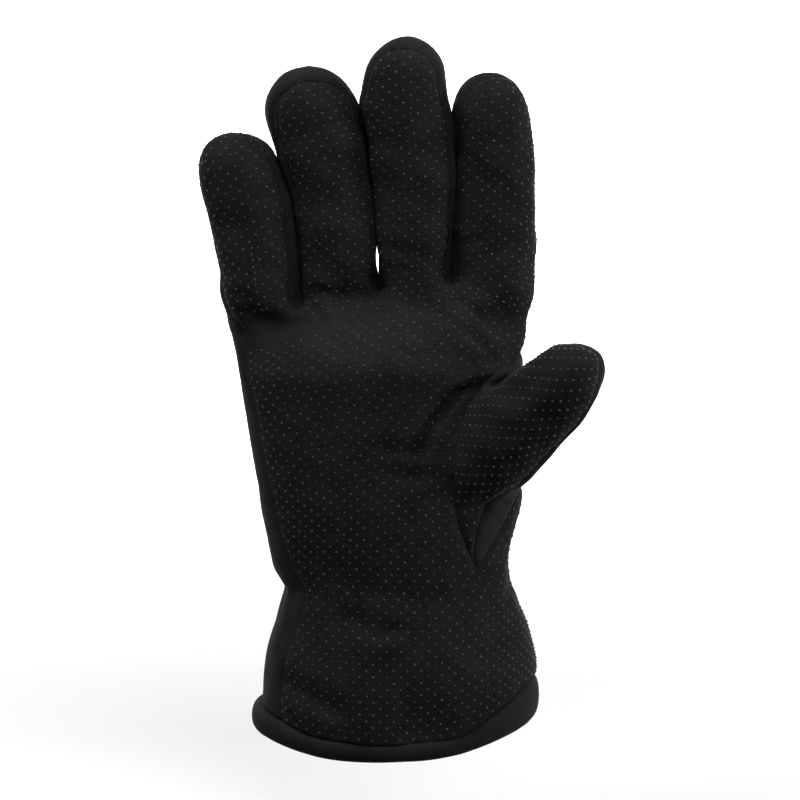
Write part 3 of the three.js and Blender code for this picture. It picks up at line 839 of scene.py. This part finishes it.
class Finish:
    """Builds one node material step by step."""

    def __init__(self, name, roughness, sheen=0.0, sheen_roughness=0.5, specular=0.5):
        self.material = bpy.data.materials.new(name)
        self.material.use_nodes = True
        self.tree = self.material.node_tree
        self.shader = self.tree.nodes["Principled BSDF"]
        self.shader.inputs["Roughness"].default_value = roughness
        self.shader.inputs["Sheen Weight"].default_value = sheen
        self.shader.inputs["Sheen Roughness"].default_value = sheen_roughness
        self.shader.inputs["Specular IOR Level"].default_value = specular
        self.coordinates = self.node("ShaderNodeTexCoord").outputs["Object"]

    def node(self, kind, sockets=(), **values):
        """A new node with the values of its own settings and of its sockets; a socket's value may be a link."""
        made = self.tree.nodes.new(kind)
        for key, value in values.items():
            setattr(made, key, value)
        for key, value in dict(sockets).items():
            if isinstance(value, bpy.types.NodeSocket):
                self.link(value, made.inputs[key])
            else:
                made.inputs[key].default_value = value
        return made

    def link(self, source, target):
        self.tree.links.new(source, target)

    def place(self, scale):
        sockets = {"Vector": self.coordinates, "Scale": scale}
        return self.node("ShaderNodeMapping", sockets).outputs["Vector"]

    def noise(self, scale, detail=3.0, rough=0.5, stretch=(1, 1, 1)):
        sockets = {"Vector": self.place(stretch), "Scale": scale, "Detail": detail, "Roughness": rough}
        return self.node("ShaderNodeTexNoise", sockets).outputs["Fac"]

    def span(self, value, low, high):
        sockets = {"Value": value, "From Min": 0.3, "From Max": 0.7, "To Min": low, "To Max": high}
        return self.node("ShaderNodeMapRange", sockets).outputs["Result"]

    def patch(self, middle, reach, amount):
        """A soft oval of that amount round a place, nought outside."""
        away = self.node("ShaderNodeVectorMath", {0: self.coordinates, 1: middle}, operation="SUBTRACT")
        share = self.node("ShaderNodeVectorMath", {0: away.outputs[0], 1: reach}, operation="DIVIDE")
        length = self.node("ShaderNodeVectorMath", {0: share.outputs[0]}, operation="LENGTH")
        sockets = {"Value": length.outputs["Value"], "From Min": 1.25, "From Max": 0.35, "To Max": amount}
        return self.node("ShaderNodeMapRange", sockets, interpolation_type="SMOOTHSTEP").outputs["Result"]

    def math(self, operation, a, b):
        return self.node("ShaderNodeMath", {0: a, 1: b}, operation=operation).outputs["Value"]

    def colour(self, value, dark, light):
        ramp = self.node("ShaderNodeMix", {0: value, 6: (*dark, 1), 7: (*light, 1)}, data_type="RGBA")
        self.link(ramp.outputs[2], self.shader.inputs["Base Color"])

    def bump(self, height, distance, strength=1.0):
        sockets = {"Height": height, "Distance": distance, "Strength": strength}
        self.link(self.node("ShaderNodeBump", sockets).outputs["Normal"], self.shader.inputs["Normal"])


def shade(colour, factor):
    return tuple(min(1.0, part * factor) for part in colour)


def knit_finish(name, colour, cell, sheen, roughness, mottle, painted_light=None):
    """Fine knit: small loops in columns, with soft wear and lint; one place may get a painted pool of light
    that lightens its colour.
    """
    finish = Finish(name, roughness, sheen, 0.4, 0.03)
    sockets = {"Vector": finish.place((1, 1, 0.7)), "Scale": 1 / cell, "Randomness": 0.75}
    loops = finish.node("ShaderNodeTexVoronoi", sockets).outputs["Distance"]
    ribs = finish.noise(1 / (cell * 1.5), 2, 0.5, (1, 1, 0.35))
    cloudy = finish.noise(60, 4, 0.6)
    lint = finish.noise(1500, 2, 0.6, (0.4, 1, 1))
    height = finish.math(
        "ADD", finish.math("MULTIPLY", loops, -0.8), finish.math("MULTIPLY", ribs, 0.8))
    tone = finish.math(
        "ADD", finish.math("MULTIPLY", cloudy, mottle), finish.math("MULTIPLY", lint, 1 - mottle))
    tone = finish.span(tone, 0.0, 1.0)
    # Painted light: the colour is lightened round one place, standing in for light that falls there.
    if painted_light:
        tone = finish.math("ADD", tone, finish.patch(*painted_light))
    finish.colour(tone, shade(colour, 0.5), shade(colour, 1.6))
    finish.link(finish.span(cloudy, roughness - 0.06, roughness + 0.06), finish.shader.inputs["Roughness"])
    finish.bump(height, cell * 0.35, 0.6)
    return finish.material


def rubber_finish(name, colour):
    """Half glossy print, worn unevenly from dot to dot."""
    finish = Finish(name, 0.36, 0.0, 0.5, 0.2)
    specks = finish.noise(700, 3, 0.6)
    worn = finish.noise(280, 1, 0.5)
    finish.colour(finish.span(worn, 0.0, 1.0), shade(colour, 0.2), shade(colour, 2.0))
    finish.link(finish.span(specks, 0.27, 0.42), finish.shader.inputs["Roughness"])
    finish.bump(specks, 0.00003, 0.4)
    return finish.material


def fleece_finish(name, colour):
    """Short soft tufts in clumps."""
    finish = Finish(name, 0.95, 0.5, 0.6, 0.2)
    tufts = finish.noise(420, 5, 0.7)
    clumps = finish.noise(90, 3, 0.6)
    finish.colour(finish.span(clumps, 0.0, 1.0), shade(colour, 0.7), shade(colour, 1.4))
    finish.bump(finish.math("ADD", tufts, clumps), 0.0006, 0.8)
    return finish.material


def finish_of(name):
    """The glove's own material of that name, made once."""
    found = bpy.data.materials.get(name)
    if found:
        return found
    colours = bpy.context.scene.glove_colours
    makers = {
        # The dotted cloth gets a painted pool of light on the upper palm, the plain cloth a painted highlight
        # on the thumb's leaf.
        "grip_knit": lambda: knit_finish(name, colours.grip_cloth, 0.00055, 0.008, 0.74, 0.6, PALM_PAINTED_LIGHT),
        "smooth_cloth": lambda: knit_finish(name, colours.shell_cloth, 0.00038, 0.007, 0.7, 0.75, LEAF_PAINTED_LIGHT),
        "hem_knit": lambda: knit_finish(name, colours.hem_cloth, 0.00042, 0.012, 0.78, 0.7),
        "dot_rubber": lambda: rubber_finish(name, colours.dots),
        "fleece": lambda: fleece_finish(name, colours.lining),
    }
    return makers[name]()


# The glove's skin


def hand_form(rings, inset, count, step, rounds, spread=0.0):
    """The body's rings, the thumb and the fingers grown into one smooth skin."""
    parts = [loft(rings), loft(thumb_rings(inset, count))]
    parts += [loft(finger_rings(k, inset, count, spread)) for k in range(4)]
    points, faces = remeshed(*joined(parts), step)
    return relaxed(points, faces, rounds), faces


def glove_skin(step):
    """The outside of the whole glove as points and triangles, closed well below the hem."""
    rings = [body_ring(z, 0, 160) for z in np.linspace(HEM_LINE - BELOW_HEM, ROOT, 122)]
    points, faces = hand_form(rings, 0, 80, step, 14, SPREAD)
    return fingers_back_together(points, SPREAD), faces


def fold_depth(points, normals):
    """How far the palm side's folds sink the cloth at each point."""
    spot = points[:, [0, 2]]
    facing = smooth_step(-normals[:, 1], 0.1, 0.5)
    total = np.zeros(len(points))
    for depth, half, line in FOLDS:
        gap, along = line_distance(spot, line)
        taper = np.clip(np.minimum(along, 1 - along) * 4 + 0.25, 0, 1)
        sink = np.exp(-(gap / half) ** 2)
        swell = 0.35 * np.exp(-((gap - 2.2 * half) / (1.1 * half)) ** 2)
        total += 1.35 * depth * taper * (sink - swell)
    depth = along_table(points[:, 0], LEDGE[:, [0, 2]]) * (1 + 0.25 * ripple(points, 9, 4.2))
    above = points[:, 2] - along_table(points[:, 0], LEDGE)
    away = np.abs(above)
    total += depth * np.where(
        above > 0, np.exp(-(away / LEDGE_ABOVE) ** 1.3), np.exp(-(away / LEDGE_BELOW) ** 1.15))
    return FOLD_LIMIT * np.tanh(total / FOLD_LIMIT) * facing


def palm_form(points, normals):
    """How far the padding stands out over the finger roots and the wrist, and sinks in the palm's middle."""
    facing = smooth_step(-normals[:, 1], 0.1, 0.6)
    total = np.zeros(len(points))
    for rise, x, z, half_x, half_z in PALM_FORM:
        total += rise * np.exp(-((points[:, 0] - x) / half_x) ** 2 - ((points[:, 2] - z) / half_z) ** 2)
    return total * facing


def gather_depth(points):
    """Small upright gathers round the wrist."""
    left, right, front, back = body_at(points[:, 2]).T
    turn = np.arctan2(points[:, 1] - (front + back) / 2, points[:, 0] - (left + right) / 2)
    near = np.exp(-((points[:, 2] - CUFF_HEIGHT) / 11) ** 2)
    wander = ripple(points * (1, 1, 0.4), 14, 3.1) * 2.2
    gathers = near * sum(depth * np.sin(turn * count + wander * sway) for depth, count, sway in GATHERS)
    notch = np.exp(-np.abs(points[:, 2] - CUFF_HEIGHT) / 3.5) * smooth_step(-points[:, 0], 26, 38)
    return gathers + WRIST_NOTCH * notch


def outline_fit(points):
    """Small moves of the outer edges and of the tips, which bring the outline to its final line."""
    left, right = body_at(np.minimum(points[:, 2], ROOT)).T[:2]
    across = (points[:, 0] - (left + right) / 2) / ((right - left) / 2)
    height = points[:, 2]
    moved = points.copy()
    moved[:, 0] -= smooth_step(-across, 0.55, 1) * along_table(height, LEFT_FIT)
    beside = smooth_step(across, 0.55, 1) * (1 - smooth_step(across, 1.05, 1.25))
    moved[:, 0] += beside * along_table(height, RIGHT_FIT)
    for x, z, reach, move_x, move_z in OUTLINE_NUDGES:
        near = np.exp(-((points[:, 0] - x) ** 2 + (height - z) ** 2) / reach ** 2)
        moved[:, 0] += move_x * near
        moved[:, 2] += move_z * near
    return moved


def sewn_skin(settings):
    """The skin cut into panels and sunk along its seams: points, triangles, and the panel of each triangle."""
    points, faces = glove_skin(settings.skin_step / MM)
    for field in (hem_field, thumb_field, thumb_front_field, leaf_field, front_field, back_field, strip_field):
        points, faces = cut_along(points, faces, field)
    faces = faces[hem_field(points[faces].mean(1)) > 0]
    panel = panels_of(points[faces].mean(1))
    pairs = np.sort(sides_of(faces), 1)
    order = np.lexsort(pairs.T[::-1])
    pairs, owner = pairs[order], np.tile(panel, 3)[order]
    twin = (pairs[1:] == pairs[:-1]).all(1) & (owner[1:] != owner[:-1])
    seams = search_tree(points[np.unique(pairs[1:][twin])])
    away = np.array([seams.find(Vector(p))[2] for p in points])
    normals = vertex_normals(points, faces)
    pucker = 1 + 0.35 * ripple(points, 5.0, 7.7)
    width = settings.seam_width / MM
    sink = settings.seam_depth / MM * np.exp(-(away / width) ** 2) * pucker
    x, height = points[:, 0], points[:, 2]
    sink *= 1 - 0.5 * smooth_step(-x, 22, 32) * (1 - smooth_step(height, 140, 155))
    sink *= 1 - 0.55 * np.exp(-((x - 42) / 10) ** 2 - ((height - 80) / 17) ** 2)
    swell = settings.puff / MM * (1 - np.exp(-(away / 7) ** 2))
    uneven = 0.22 * ripple(points, 19, 1.3) + 0.15 * ripple(points, 6.5, 5.9)
    folds = fold_depth(points, normals) * settings.fold_strength
    moved = points + normals * (
        swell + uneven + palm_form(points, normals) - sink - folds - gather_depth(points))[:, None]
    moved += simulated_swell(points, normals, away)
    return outline_fit(pressed_fingers(moved, finger_of(points)[0])), faces, panel


def simulated_swell(points, normals, away):
    """Pressure cloth run on a coarse copy of the skin, held at its seams; returns each fine point's move."""
    coarse, faces = glove_skin(SWELL_STEP)
    keep = hem_field(coarse) > -3
    tree = search_tree(points)
    hold = np.array([1.0 if not keep[k] else math.exp(-(away[tree.find(Vector(spot))[1]] / 5.5) ** 2)
                     for k, spot in enumerate(coarse)])
    outward = vertex_normals(coarse, faces)
    start = coarse - outward * 0.7
    obj = new_mesh("swell_work", start, faces)
    pins = obj.vertex_groups.new(name="seams")
    for k, weight in enumerate(hold):
        pins.add([k], float(weight), "REPLACE")
    cloth = obj.modifiers.new("Swell", "CLOTH")
    cloth.settings.vertex_group_mass = "seams"
    for key, value in SWELL_CLOTH.items():
        setattr(cloth.settings, key, value)
    cloth.settings.effector_weights.gravity = 0
    cloth.collision_settings.use_collision = False
    cloth.point_cache.frame_start, cloth.point_cache.frame_end = 1, SWELL_FRAMES
    for number in range(1, SWELL_FRAMES + 1):
        bpy.context.scene.frame_set(number)
    ended = coordinates_of(obj.evaluated_get(bpy.context.evaluated_depsgraph_get()).to_mesh())
    bpy.context.scene.frame_set(1)
    discard(obj)
    move = ended / MM - start
    move -= 0.9 * relaxed(move, faces, 22)
    move *= (0.25 + 0.75 * smooth_step(np.abs(outward[:, 1]), 0.1, 0.7))[:, None]
    height = coarse[:, 2]
    calm = smooth_step(height, 25, 50) * (1 - smooth_step(height, 125, 150)) * (coarse[:, 0] < 30)
    move *= (0.75 - 0.45 * calm)[:, None]
    length = np.linalg.norm(move, axis=1)
    move *= np.minimum(1, SWELL_CAP / np.maximum(length, 1e-6))[:, None]
    tree = search_tree(coarse)
    found = [tree.find_n(Vector(spot), 7) for spot in points]
    index = np.array([[item[1] for item in row] for row in found])
    gap = np.array([[item[2] for item in row] for row in found])
    same = np.clip(np.einsum("kj,knj->kn", normals, outward[index]), 0, 1)
    weight = same ** 2 * np.exp(-(gap / 3.6) ** 2) + 1e-9
    weight /= weight.sum(1, keepdims=True)
    return np.einsum("kn,knj->kj", weight, move[index])


def panel_object(name, points, faces, thickness):
    """One panel with its own thickness, from the triangles that belong to it."""
    if not len(faces):
        raise RuntimeError(f"no cloth was left for {name}")
    used, index = np.unique(faces, return_inverse=True)
    tris = index.reshape(faces.shape)
    outer = points[used]
    normals = vertex_normals(outer, tris)
    inner = outer - normals * thickness
    pairs = sides_of(tris)
    _, first, count = np.unique(np.sort(pairs, 1), axis=0, return_index=True, return_counts=True)
    rim = pairs[first[count == 1]]
    base = len(outer)
    sides = np.concatenate([
        np.stack([rim[:, 1], rim[:, 0], rim[:, 0] + base], 1),
        np.stack([rim[:, 1], rim[:, 0] + base, rim[:, 1] + base], 1)])
    return new_mesh(name, np.concatenate([outer, inner]), np.concatenate([tris, tris[:, ::-1] + base, sides]))


def finished(obj, material, nodes=()):
    """Gives a piece its material, hangs it on the root body and hides the frame's nodes that it stands for."""
    obj.data.materials.append(finish_of(material))
    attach(obj, "root")
    if nodes:
        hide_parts(*nodes)
    return obj


class GLOVE_OT_panels(bpy.types.Operator):
    """Sews the palm, back, finger strips and thumb from one padded skin"""

    bl_idname = "glove.panels"
    bl_label = "Cloth panels"

    def execute(self, context):
        settings = context.scene.glove_cloth
        points, faces, panel = sewn_skin(settings)
        for number, name in enumerate(PANELS):
            slot, nodes = PANEL_NODES[name]
            material = "grip_knit" if slot == "grip_cloth" else "smooth_cloth"
            obj = panel_object(name, points, faces[panel == number], settings.cloth_thickness / MM)
            finished(obj, material, nodes)
        return {"FINISHED"}


# Grip dots


def surface_tree(name):
    """Tree that a ray can be cast at, made from a panel's faces."""
    mesh = bpy.data.objects[name].data
    return BVHTree.FromPolygons([v.co / MM for v in mesh.vertices], [tuple(p.vertices) for p in mesh.polygons])


def lengths_along(outline):
    return np.concatenate([[0], np.cumsum(np.linalg.norm(np.diff(outline, axis=0), axis=1))])


def spots_along(outline, length, places):
    return np.stack([np.interp(places, length, outline[:, axis]) for axis in range(3)], -1)


def evenly_round(outline, pitch, shift):
    """Points at even arc lengths along an open outline, counted both ways from its middle."""
    length = lengths_along(outline)
    middle = length[len(outline) // 2]
    first = math.ceil((-middle - shift) / pitch)
    last = math.floor((length[-1] - middle - shift) / pitch)
    return spots_along(outline, length, np.arange(first, last + 1) * pitch + shift + middle)


def spot_round(outline, distance):
    """The point of an open outline at that arc length from its middle, or None beyond its ends."""
    length = lengths_along(outline)
    place = length[len(outline) // 2] + distance
    return spots_along(outline, length, place) if 0 <= place <= length[-1] else None


def front_half(ring):
    """The front part of an oval ring, from its left edge by the front to its right edge and a little past."""
    count = len(ring)
    start, stop = int(count * 0.44), int(count * 1.06)
    return np.array([ring[k % count] for k in range(start, stop)])


def dot_rays(column, row):
    """Start and target points, row by row, for the dots of the hand and fingers."""
    rays = []
    level = 0
    z = FIRST_ROW
    while z < ROOT - 8:
        ring = body_ring(z, 0, 240)
        centre = ring.mean(0)
        shift = 0.0 if level % 2 else column
        slant = ROW_SLANT * smooth_step(z, 60, 110)
        for spot in evenly_round(front_half(ring), column * 2, shift):
            rise = np.array([0, 0, slant * (spot[0] - centre[0])])
            start = np.array([centre[0] + (spot[0] - centre[0]) * 0.6, centre[1], spot[2]])
            rays.append((start + rise, spot + rise))
        z += row / 2
        level += 1
    for number in range(4):
        cap = FINGER_ROWS[number][0]
        level_here, z_here = level, z
        while (z_here - ROOT) / FINGER_LENGTH <= cap + ROWS_PAST_CAP:
            up = (z_here - ROOT) / FINGER_LENGTH
            x, y, height, half, deep = finger_section(number, min(up, cap))
            centre = np.array([x, y, height])
            ring = oval(centre, (half, 0, 0), (0, deep, 0), 160)
            shift = 0.0 if level_here % 2 else column
            over = max(0.0, (up - cap) * FINGER_LENGTH) / FINGER_TIP_ROUND
            pitch = column * 2 / max(LEAST_COSINE, math.cos(over))
            for spot in evenly_round(front_half(ring), pitch, shift):
                rel = spot - centre
                target = centre + rel * math.cos(over)
                target[2] += np.linalg.norm(rel) * math.sin(over)
                rise = np.array([0, 0, ROW_SLANT * rel[0]])
                rays.append((centre + rise, target + rise))
            z_here += row / 2
            level_here += 1
    return rays


def thumb_rays():
    """The same for the thumb, whose rows lie level across its leaning length."""
    rays = []
    cap = THUMB_ROWS[-1, 0]
    for level in range(-30, 31):
        for number in range(-40, 41):
            along, aside = THUMB_LATTICE[0] * number + THUMB_LATTICE[1] * level
            along /= THUMB_LENGTH
            if not -0.62 < along < cap + 0.35:
                continue
            over = max(0.0, (along - cap) * THUMB_LENGTH) / THUMB_TIP_ROUND
            aside /= max(LEAST_COSINE, math.cos(over))
            wide, deep = thumb_at(min(max(along, -0.45), cap)) * THUMB_WIDTH
            centre = thumb_point(min(along, cap))
            spot = spot_round(front_half(oval(centre, THUMB_SIDE * wide, THUMB_BACK * deep, 160, 2)), aside)
            if spot is None:
                continue
            rel = spot - centre
            target = centre + rel * math.cos(over) + THUMB_WAY * np.linalg.norm(rel) * math.sin(over)
            rays.append((centre, target))
    return rays


def dotted_spots(rays, tree, rim, taken):
    """Where the rays meet the dotted cloth's outer face, with the outward direction there."""
    spots = []
    for start, target in rays:
        way = Vector(target - start)
        if way.length < 1e-6:
            continue
        way.normalize()
        hit, normal, _, _ = tree.ray_cast(Vector(start), way, 60)
        last = None
        while hit is not None:
            last = (hit, normal)
            hit, normal, _, _ = tree.ray_cast(hit + way * 0.05, way, 8)
        if last is None:
            continue
        hit, normal = last
        if normal.dot(way) < 0:
            normal = -normal
        if rim.find(hit)[2] < DOT_TO_SEAM:
            continue
        if any((hit - other).length < DOT_TO_DOT for other in taken.get(cell_of(hit), ())):
            continue
        spots.append((hit, normal))
        for key in cells_round(hit):
            taken.setdefault(key, []).append(hit)
    return spots


def cell_of(spot):
    return tuple(int(math.floor(part / 3)) for part in spot)


def cells_round(spot):
    x, y, z = cell_of(spot)
    return [(x + a, y + b, z + c) for a in (-1, 0, 1) for b in (-1, 0, 1) for c in (-1, 0, 1)]


def rim_tree(name):
    """Search tree of the points along a panel's edge."""
    mesh = bpy.data.objects[name].data
    half = len(mesh.vertices) // 2
    crossing = {v for e in mesh.edges for v in e.vertices if abs(e.vertices[0] - e.vertices[1]) == half}
    return search_tree([mesh.vertices[k].co / MM for k in sorted(crossing) if k < half])


def domes(name, spots, radius, height):
    """One mesh of small round domes on the given spots."""
    if not spots:
        raise RuntimeError(f"no place was found for {name}")
    levels = ((1.0, -0.25), (0.86, 0.55), (0.48, 0.9))
    sides = 8
    turn = np.linspace(0, 2 * math.pi, sides, endpoint=False)
    local = [np.stack([np.cos(turn) * r, np.sin(turn) * r, np.full(sides, h)], 1) for r, h in levels]
    local = np.concatenate(local + [np.array([[0, 0, 1.0]])]) * (radius, radius, height)
    faces = []
    for ring in range(len(levels) - 1):
        for k in range(sides):
            a, b = ring * sides + k, ring * sides + (k + 1) % sides
            faces += [(a, b, b + sides), (a, b + sides, a + sides)]
    top = len(levels) * sides
    faces += [(top - sides + k, top - sides + (k + 1) % sides, top) for k in range(sides)]
    faces = np.array(faces)
    points, tris = [], []
    count = len(local)
    chance = np.random.default_rng(41)
    for number, (spot, normal) in enumerate(spots):
        up = np.array(normal) + chance.normal(0, 0.07, 3)
        up /= np.linalg.norm(up)
        side = np.cross(up, (0, 0, 1.0) if abs(up[2]) < 0.9 else (1.0, 0, 0))
        side /= np.linalg.norm(side)
        other = np.cross(up, side)
        grown = local * chance.uniform(0.82, 1.14)
        points.append(grown @ np.stack([side, other, up]) + np.array(spot))
        tris.append(faces + number * count)
    return new_mesh(name, np.concatenate(points), np.concatenate(tris))


class GLOVE_OT_dots(bpy.types.Operator):
    """Prints the raised grip dots on the palm, the finger fronts, the cuff and the thumb"""

    bl_idname = "glove.dots"
    bl_label = "Grip dots"

    def execute(self, context):
        settings = context.scene.glove_dots
        column, row = settings.column_pitch / MM, settings.row_pitch / MM
        taken = {}
        groups = (
            ("grip_dots_thumb", "thumb_front_cloth", thumb_rays()),
            ("grip_dots_hand", "palm_cloth", dot_rays(column, row)),
        )
        for name, cloth, rays in groups:
            spots = dotted_spots(rays, surface_tree(cloth), rim_tree(cloth), taken)
            obj = domes(name, spots, settings.radius / MM, settings.height / MM)
            finished(obj, "dot_rubber")
        return {"FINISHED"}


# Hem and lining


class GLOVE_OT_hem(bpy.types.Operator):
    """Rolls the hem round the mouth of the cuff"""

    bl_idname = "glove.hem"
    bl_label = "Rolled hem"

    def execute(self, context):
        left, right, front, back = body_at(HEM_LINE)
        path = oval(((left + right) / 2, (front + back) / 2, 0), ((right - left) / 2 - HEM_INSET, 0, 0),
                    (0, (back - front) / 2 - HEM_INSET, 0), 260)
        level = path[:, 0].copy()
        path[:, 0] -= along_table(level, HEM_ASIDE)
        tangent = np.roll(path, -1, 0) - np.roll(path, 1, 0)
        outward = np.stack([tangent[:, 1], -tangent[:, 0], np.zeros(len(path))], 1)
        outward /= np.linalg.norm(outward, axis=1)[:, None]
        bottom = 0.1 + lift_of(level, HEM_LINE) - along_table(level, HEM_DROP)
        top = hem_line(np.stack([level, path[:, 1], path[:, 2]], 1)) + HEM_OVERLAP
        tall = (top - bottom) / 2 + 0.25 * ripple(path, 22, 6.1)
        thick = HEM_THICKNESS + 0.35 * ripple(path, 16, 2.2) + 0.15 * ripple(path, 5, 4.4)
        path[:, 2] = (top + bottom) / 2
        rings = [oval(path[k], outward[k] * thick[k], (0, 0, -tall[k]), 28, 2.3) for k in range(len(path))]
        hem = new_mesh("rolled_hem", *loft(rings, endless=True))
        finished(hem, "hem_knit", ("hem_roll",))
        return {"FINISHED"}


class GLOVE_OT_lining(bpy.types.Operator):
    """Lines the hand, fingers and cuff with fleece, seen through the mouth"""

    bl_idname = "glove.lining"
    bl_label = "Fleece lining"

    def execute(self, context):
        levels = np.linspace(HEM_LINE - BELOW_HEM, ROOT - 11, 66)
        rings = [body_ring(z, WALL - 0.6, 110) for z in levels]
        points, faces = hand_form(rings, WALL - 0.4, 40, 2.0, 4)
        points, faces = cut_along(points, faces, lining_field)
        faces = faces[lining_field(points[faces].mean(1)) > 0]
        used, index = np.unique(faces, return_inverse=True)
        points, faces = points[used], index.reshape(faces.shape)
        normals = vertex_normals(points, faces)
        points = points - normals * (0.25 + 0.25 * ripple(points, 7, 8.8))[:, None]
        obj = panel_object("fleece_lining", points, faces, 1.2)
        finished(obj, "fleece")
        return {"FINISHED"}


# Stage


def area_light(name, place, target, size, power, spread):
    light = bpy.data.lights.new(name, "AREA")
    light.shape = "RECTANGLE"
    light.size, light.size_y = size
    light.energy = power
    light.spread = math.radians(spread)
    obj = bpy.data.objects.new(name, light)
    obj.location = place
    obj.rotation_euler = (Vector(target) - Vector(place)).to_track_quat("-Z", "Y").to_euler()
    bpy.context.scene.collection.objects.link(obj)


class GLOVE_OT_stage(bpy.types.Operator):
    """Sets the pale floor, the soft light and the camera"""

    bl_idname = "glove.stage"
    bl_label = "Stage"

    def execute(self, context):
        settings = context.scene.glove_stage
        low = settings.floor_height / MM
        profile = [(0.5, low), (300, low), (800, low), (1200, low), (FLOOR_REACH, low)]
        for bend in np.linspace(0, math.pi / 2, 17)[1:]:
            out, up = math.sin(bend), 1 - math.cos(bend)
            profile.append((FLOOR_REACH + BOWL_CURVE * out, low + BOWL_CURVE * up))
        profile += [(FLOOR_REACH + BOWL_CURVE, low + WALL_TOP)]
        turns = np.linspace(0, 2 * math.pi, BOWL_SIDES, endpoint=False)
        points = [(math.cos(turn) * out, math.sin(turn) * out, z) for out, z in profile for turn in turns]
        here = np.arange(BOWL_SIDES)
        bands = [np.stack([here, np.roll(here, -1), np.roll(here, -1) + BOWL_SIDES, here + BOWL_SIDES], 1)
                 + band * BOWL_SIDES for band in range(len(profile) - 1)]
        floor = new_mesh("studio_floor", points, np.concatenate(bands))
        floor.visible_diffuse = False
        paper = Finish("studio_paper", 0.9)
        tone = paper.noise(3, 2)
        paper.colour(paper.span(tone, 0.0, 1.0), shade(settings.floor_colour, 0.985), settings.floor_colour[:])
        floor.data.materials.append(paper.material)

        world = bpy.data.worlds.new("studio_air")
        world.use_nodes = True
        air = world.node_tree.nodes["Background"].inputs
        air["Color"].default_value = (1, 1, 1, 1)
        air["Strength"].default_value = 0.1
        context.scene.world = world
        context.scene.view_settings.view_transform = "Standard"
        for name, place, target, size, share, spread in LIGHTS:
            area_light(name, place, target, size, settings.key_power * share, spread)

        camera = bpy.data.cameras.new("photo_camera")
        distance = settings.camera_distance
        camera.sensor_width = 36
        camera.lens = camera.sensor_width * distance / (PICTURE_WIDTH * PIXEL * MM)
        obj = bpy.data.objects.new("photo_camera", camera)
        target = Vector(PICTURE_MIDDLE) * MM
        tilt = settings.camera_tilt
        obj.location = target + Vector((0, -math.cos(tilt), math.sin(tilt))) * distance
        obj.rotation_euler = (target - obj.location).to_track_quat("-Z", "Y").to_euler()
        context.scene.collection.objects.link(obj)
        context.scene.camera = obj
        return {"FINISHED"}


class GLOVE_PT_sidebar(bpy.types.Panel):
    """Lists the steps of the glove and their settings"""

    bl_label = "Thermal glove"
    bl_idname = "GLOVE_PT_sidebar"
    bl_space_type = "VIEW_3D"
    bl_region_type = "UI"
    bl_category = "Glove"

    def draw(self, context):
        groups = (
            (context.scene.glove_cloth, ("glove.panels", "glove.lining", "glove.hem")),
            (context.scene.glove_dots, ("glove.dots",)),
            (context.scene.glove_colours, ()),
            (context.scene.glove_stage, ("glove.stage",)),
        )
        for settings, steps in groups:
            box = self.layout.box()
            for key in settings.__annotations__:
                box.prop(settings, key)
            for step in steps:
                box.operator(step)


SETTINGS = {
    "glove_cloth": GloveClothSettings,
    "glove_dots": GloveDotSettings,
    "glove_colours": GloveColourSettings,
    "glove_stage": GloveStageSettings,
}
CLASSES = (
    *SETTINGS.values(), GLOVE_OT_panels, GLOVE_OT_dots, GLOVE_OT_hem, GLOVE_OT_lining, GLOVE_OT_stage,
    GLOVE_PT_sidebar)


def register():
    for cls in CLASSES:
        bpy.utils.register_class(cls)
    for key, cls in SETTINGS.items():
        setattr(bpy.types.Scene, key, bpy.props.PointerProperty(type=cls))


def unregister():
    for key in SETTINGS:
        delattr(bpy.types.Scene, key)
    for cls in reversed(CLASSES):
        bpy.utils.unregister_class(cls)


def main():
    register()
    bpy.ops.glove.panels()
    bpy.ops.glove.dots()
    bpy.ops.glove.hem()
    bpy.ops.glove.lining()
    bpy.ops.glove.stage()


if __name__ == "__main__":
    main()
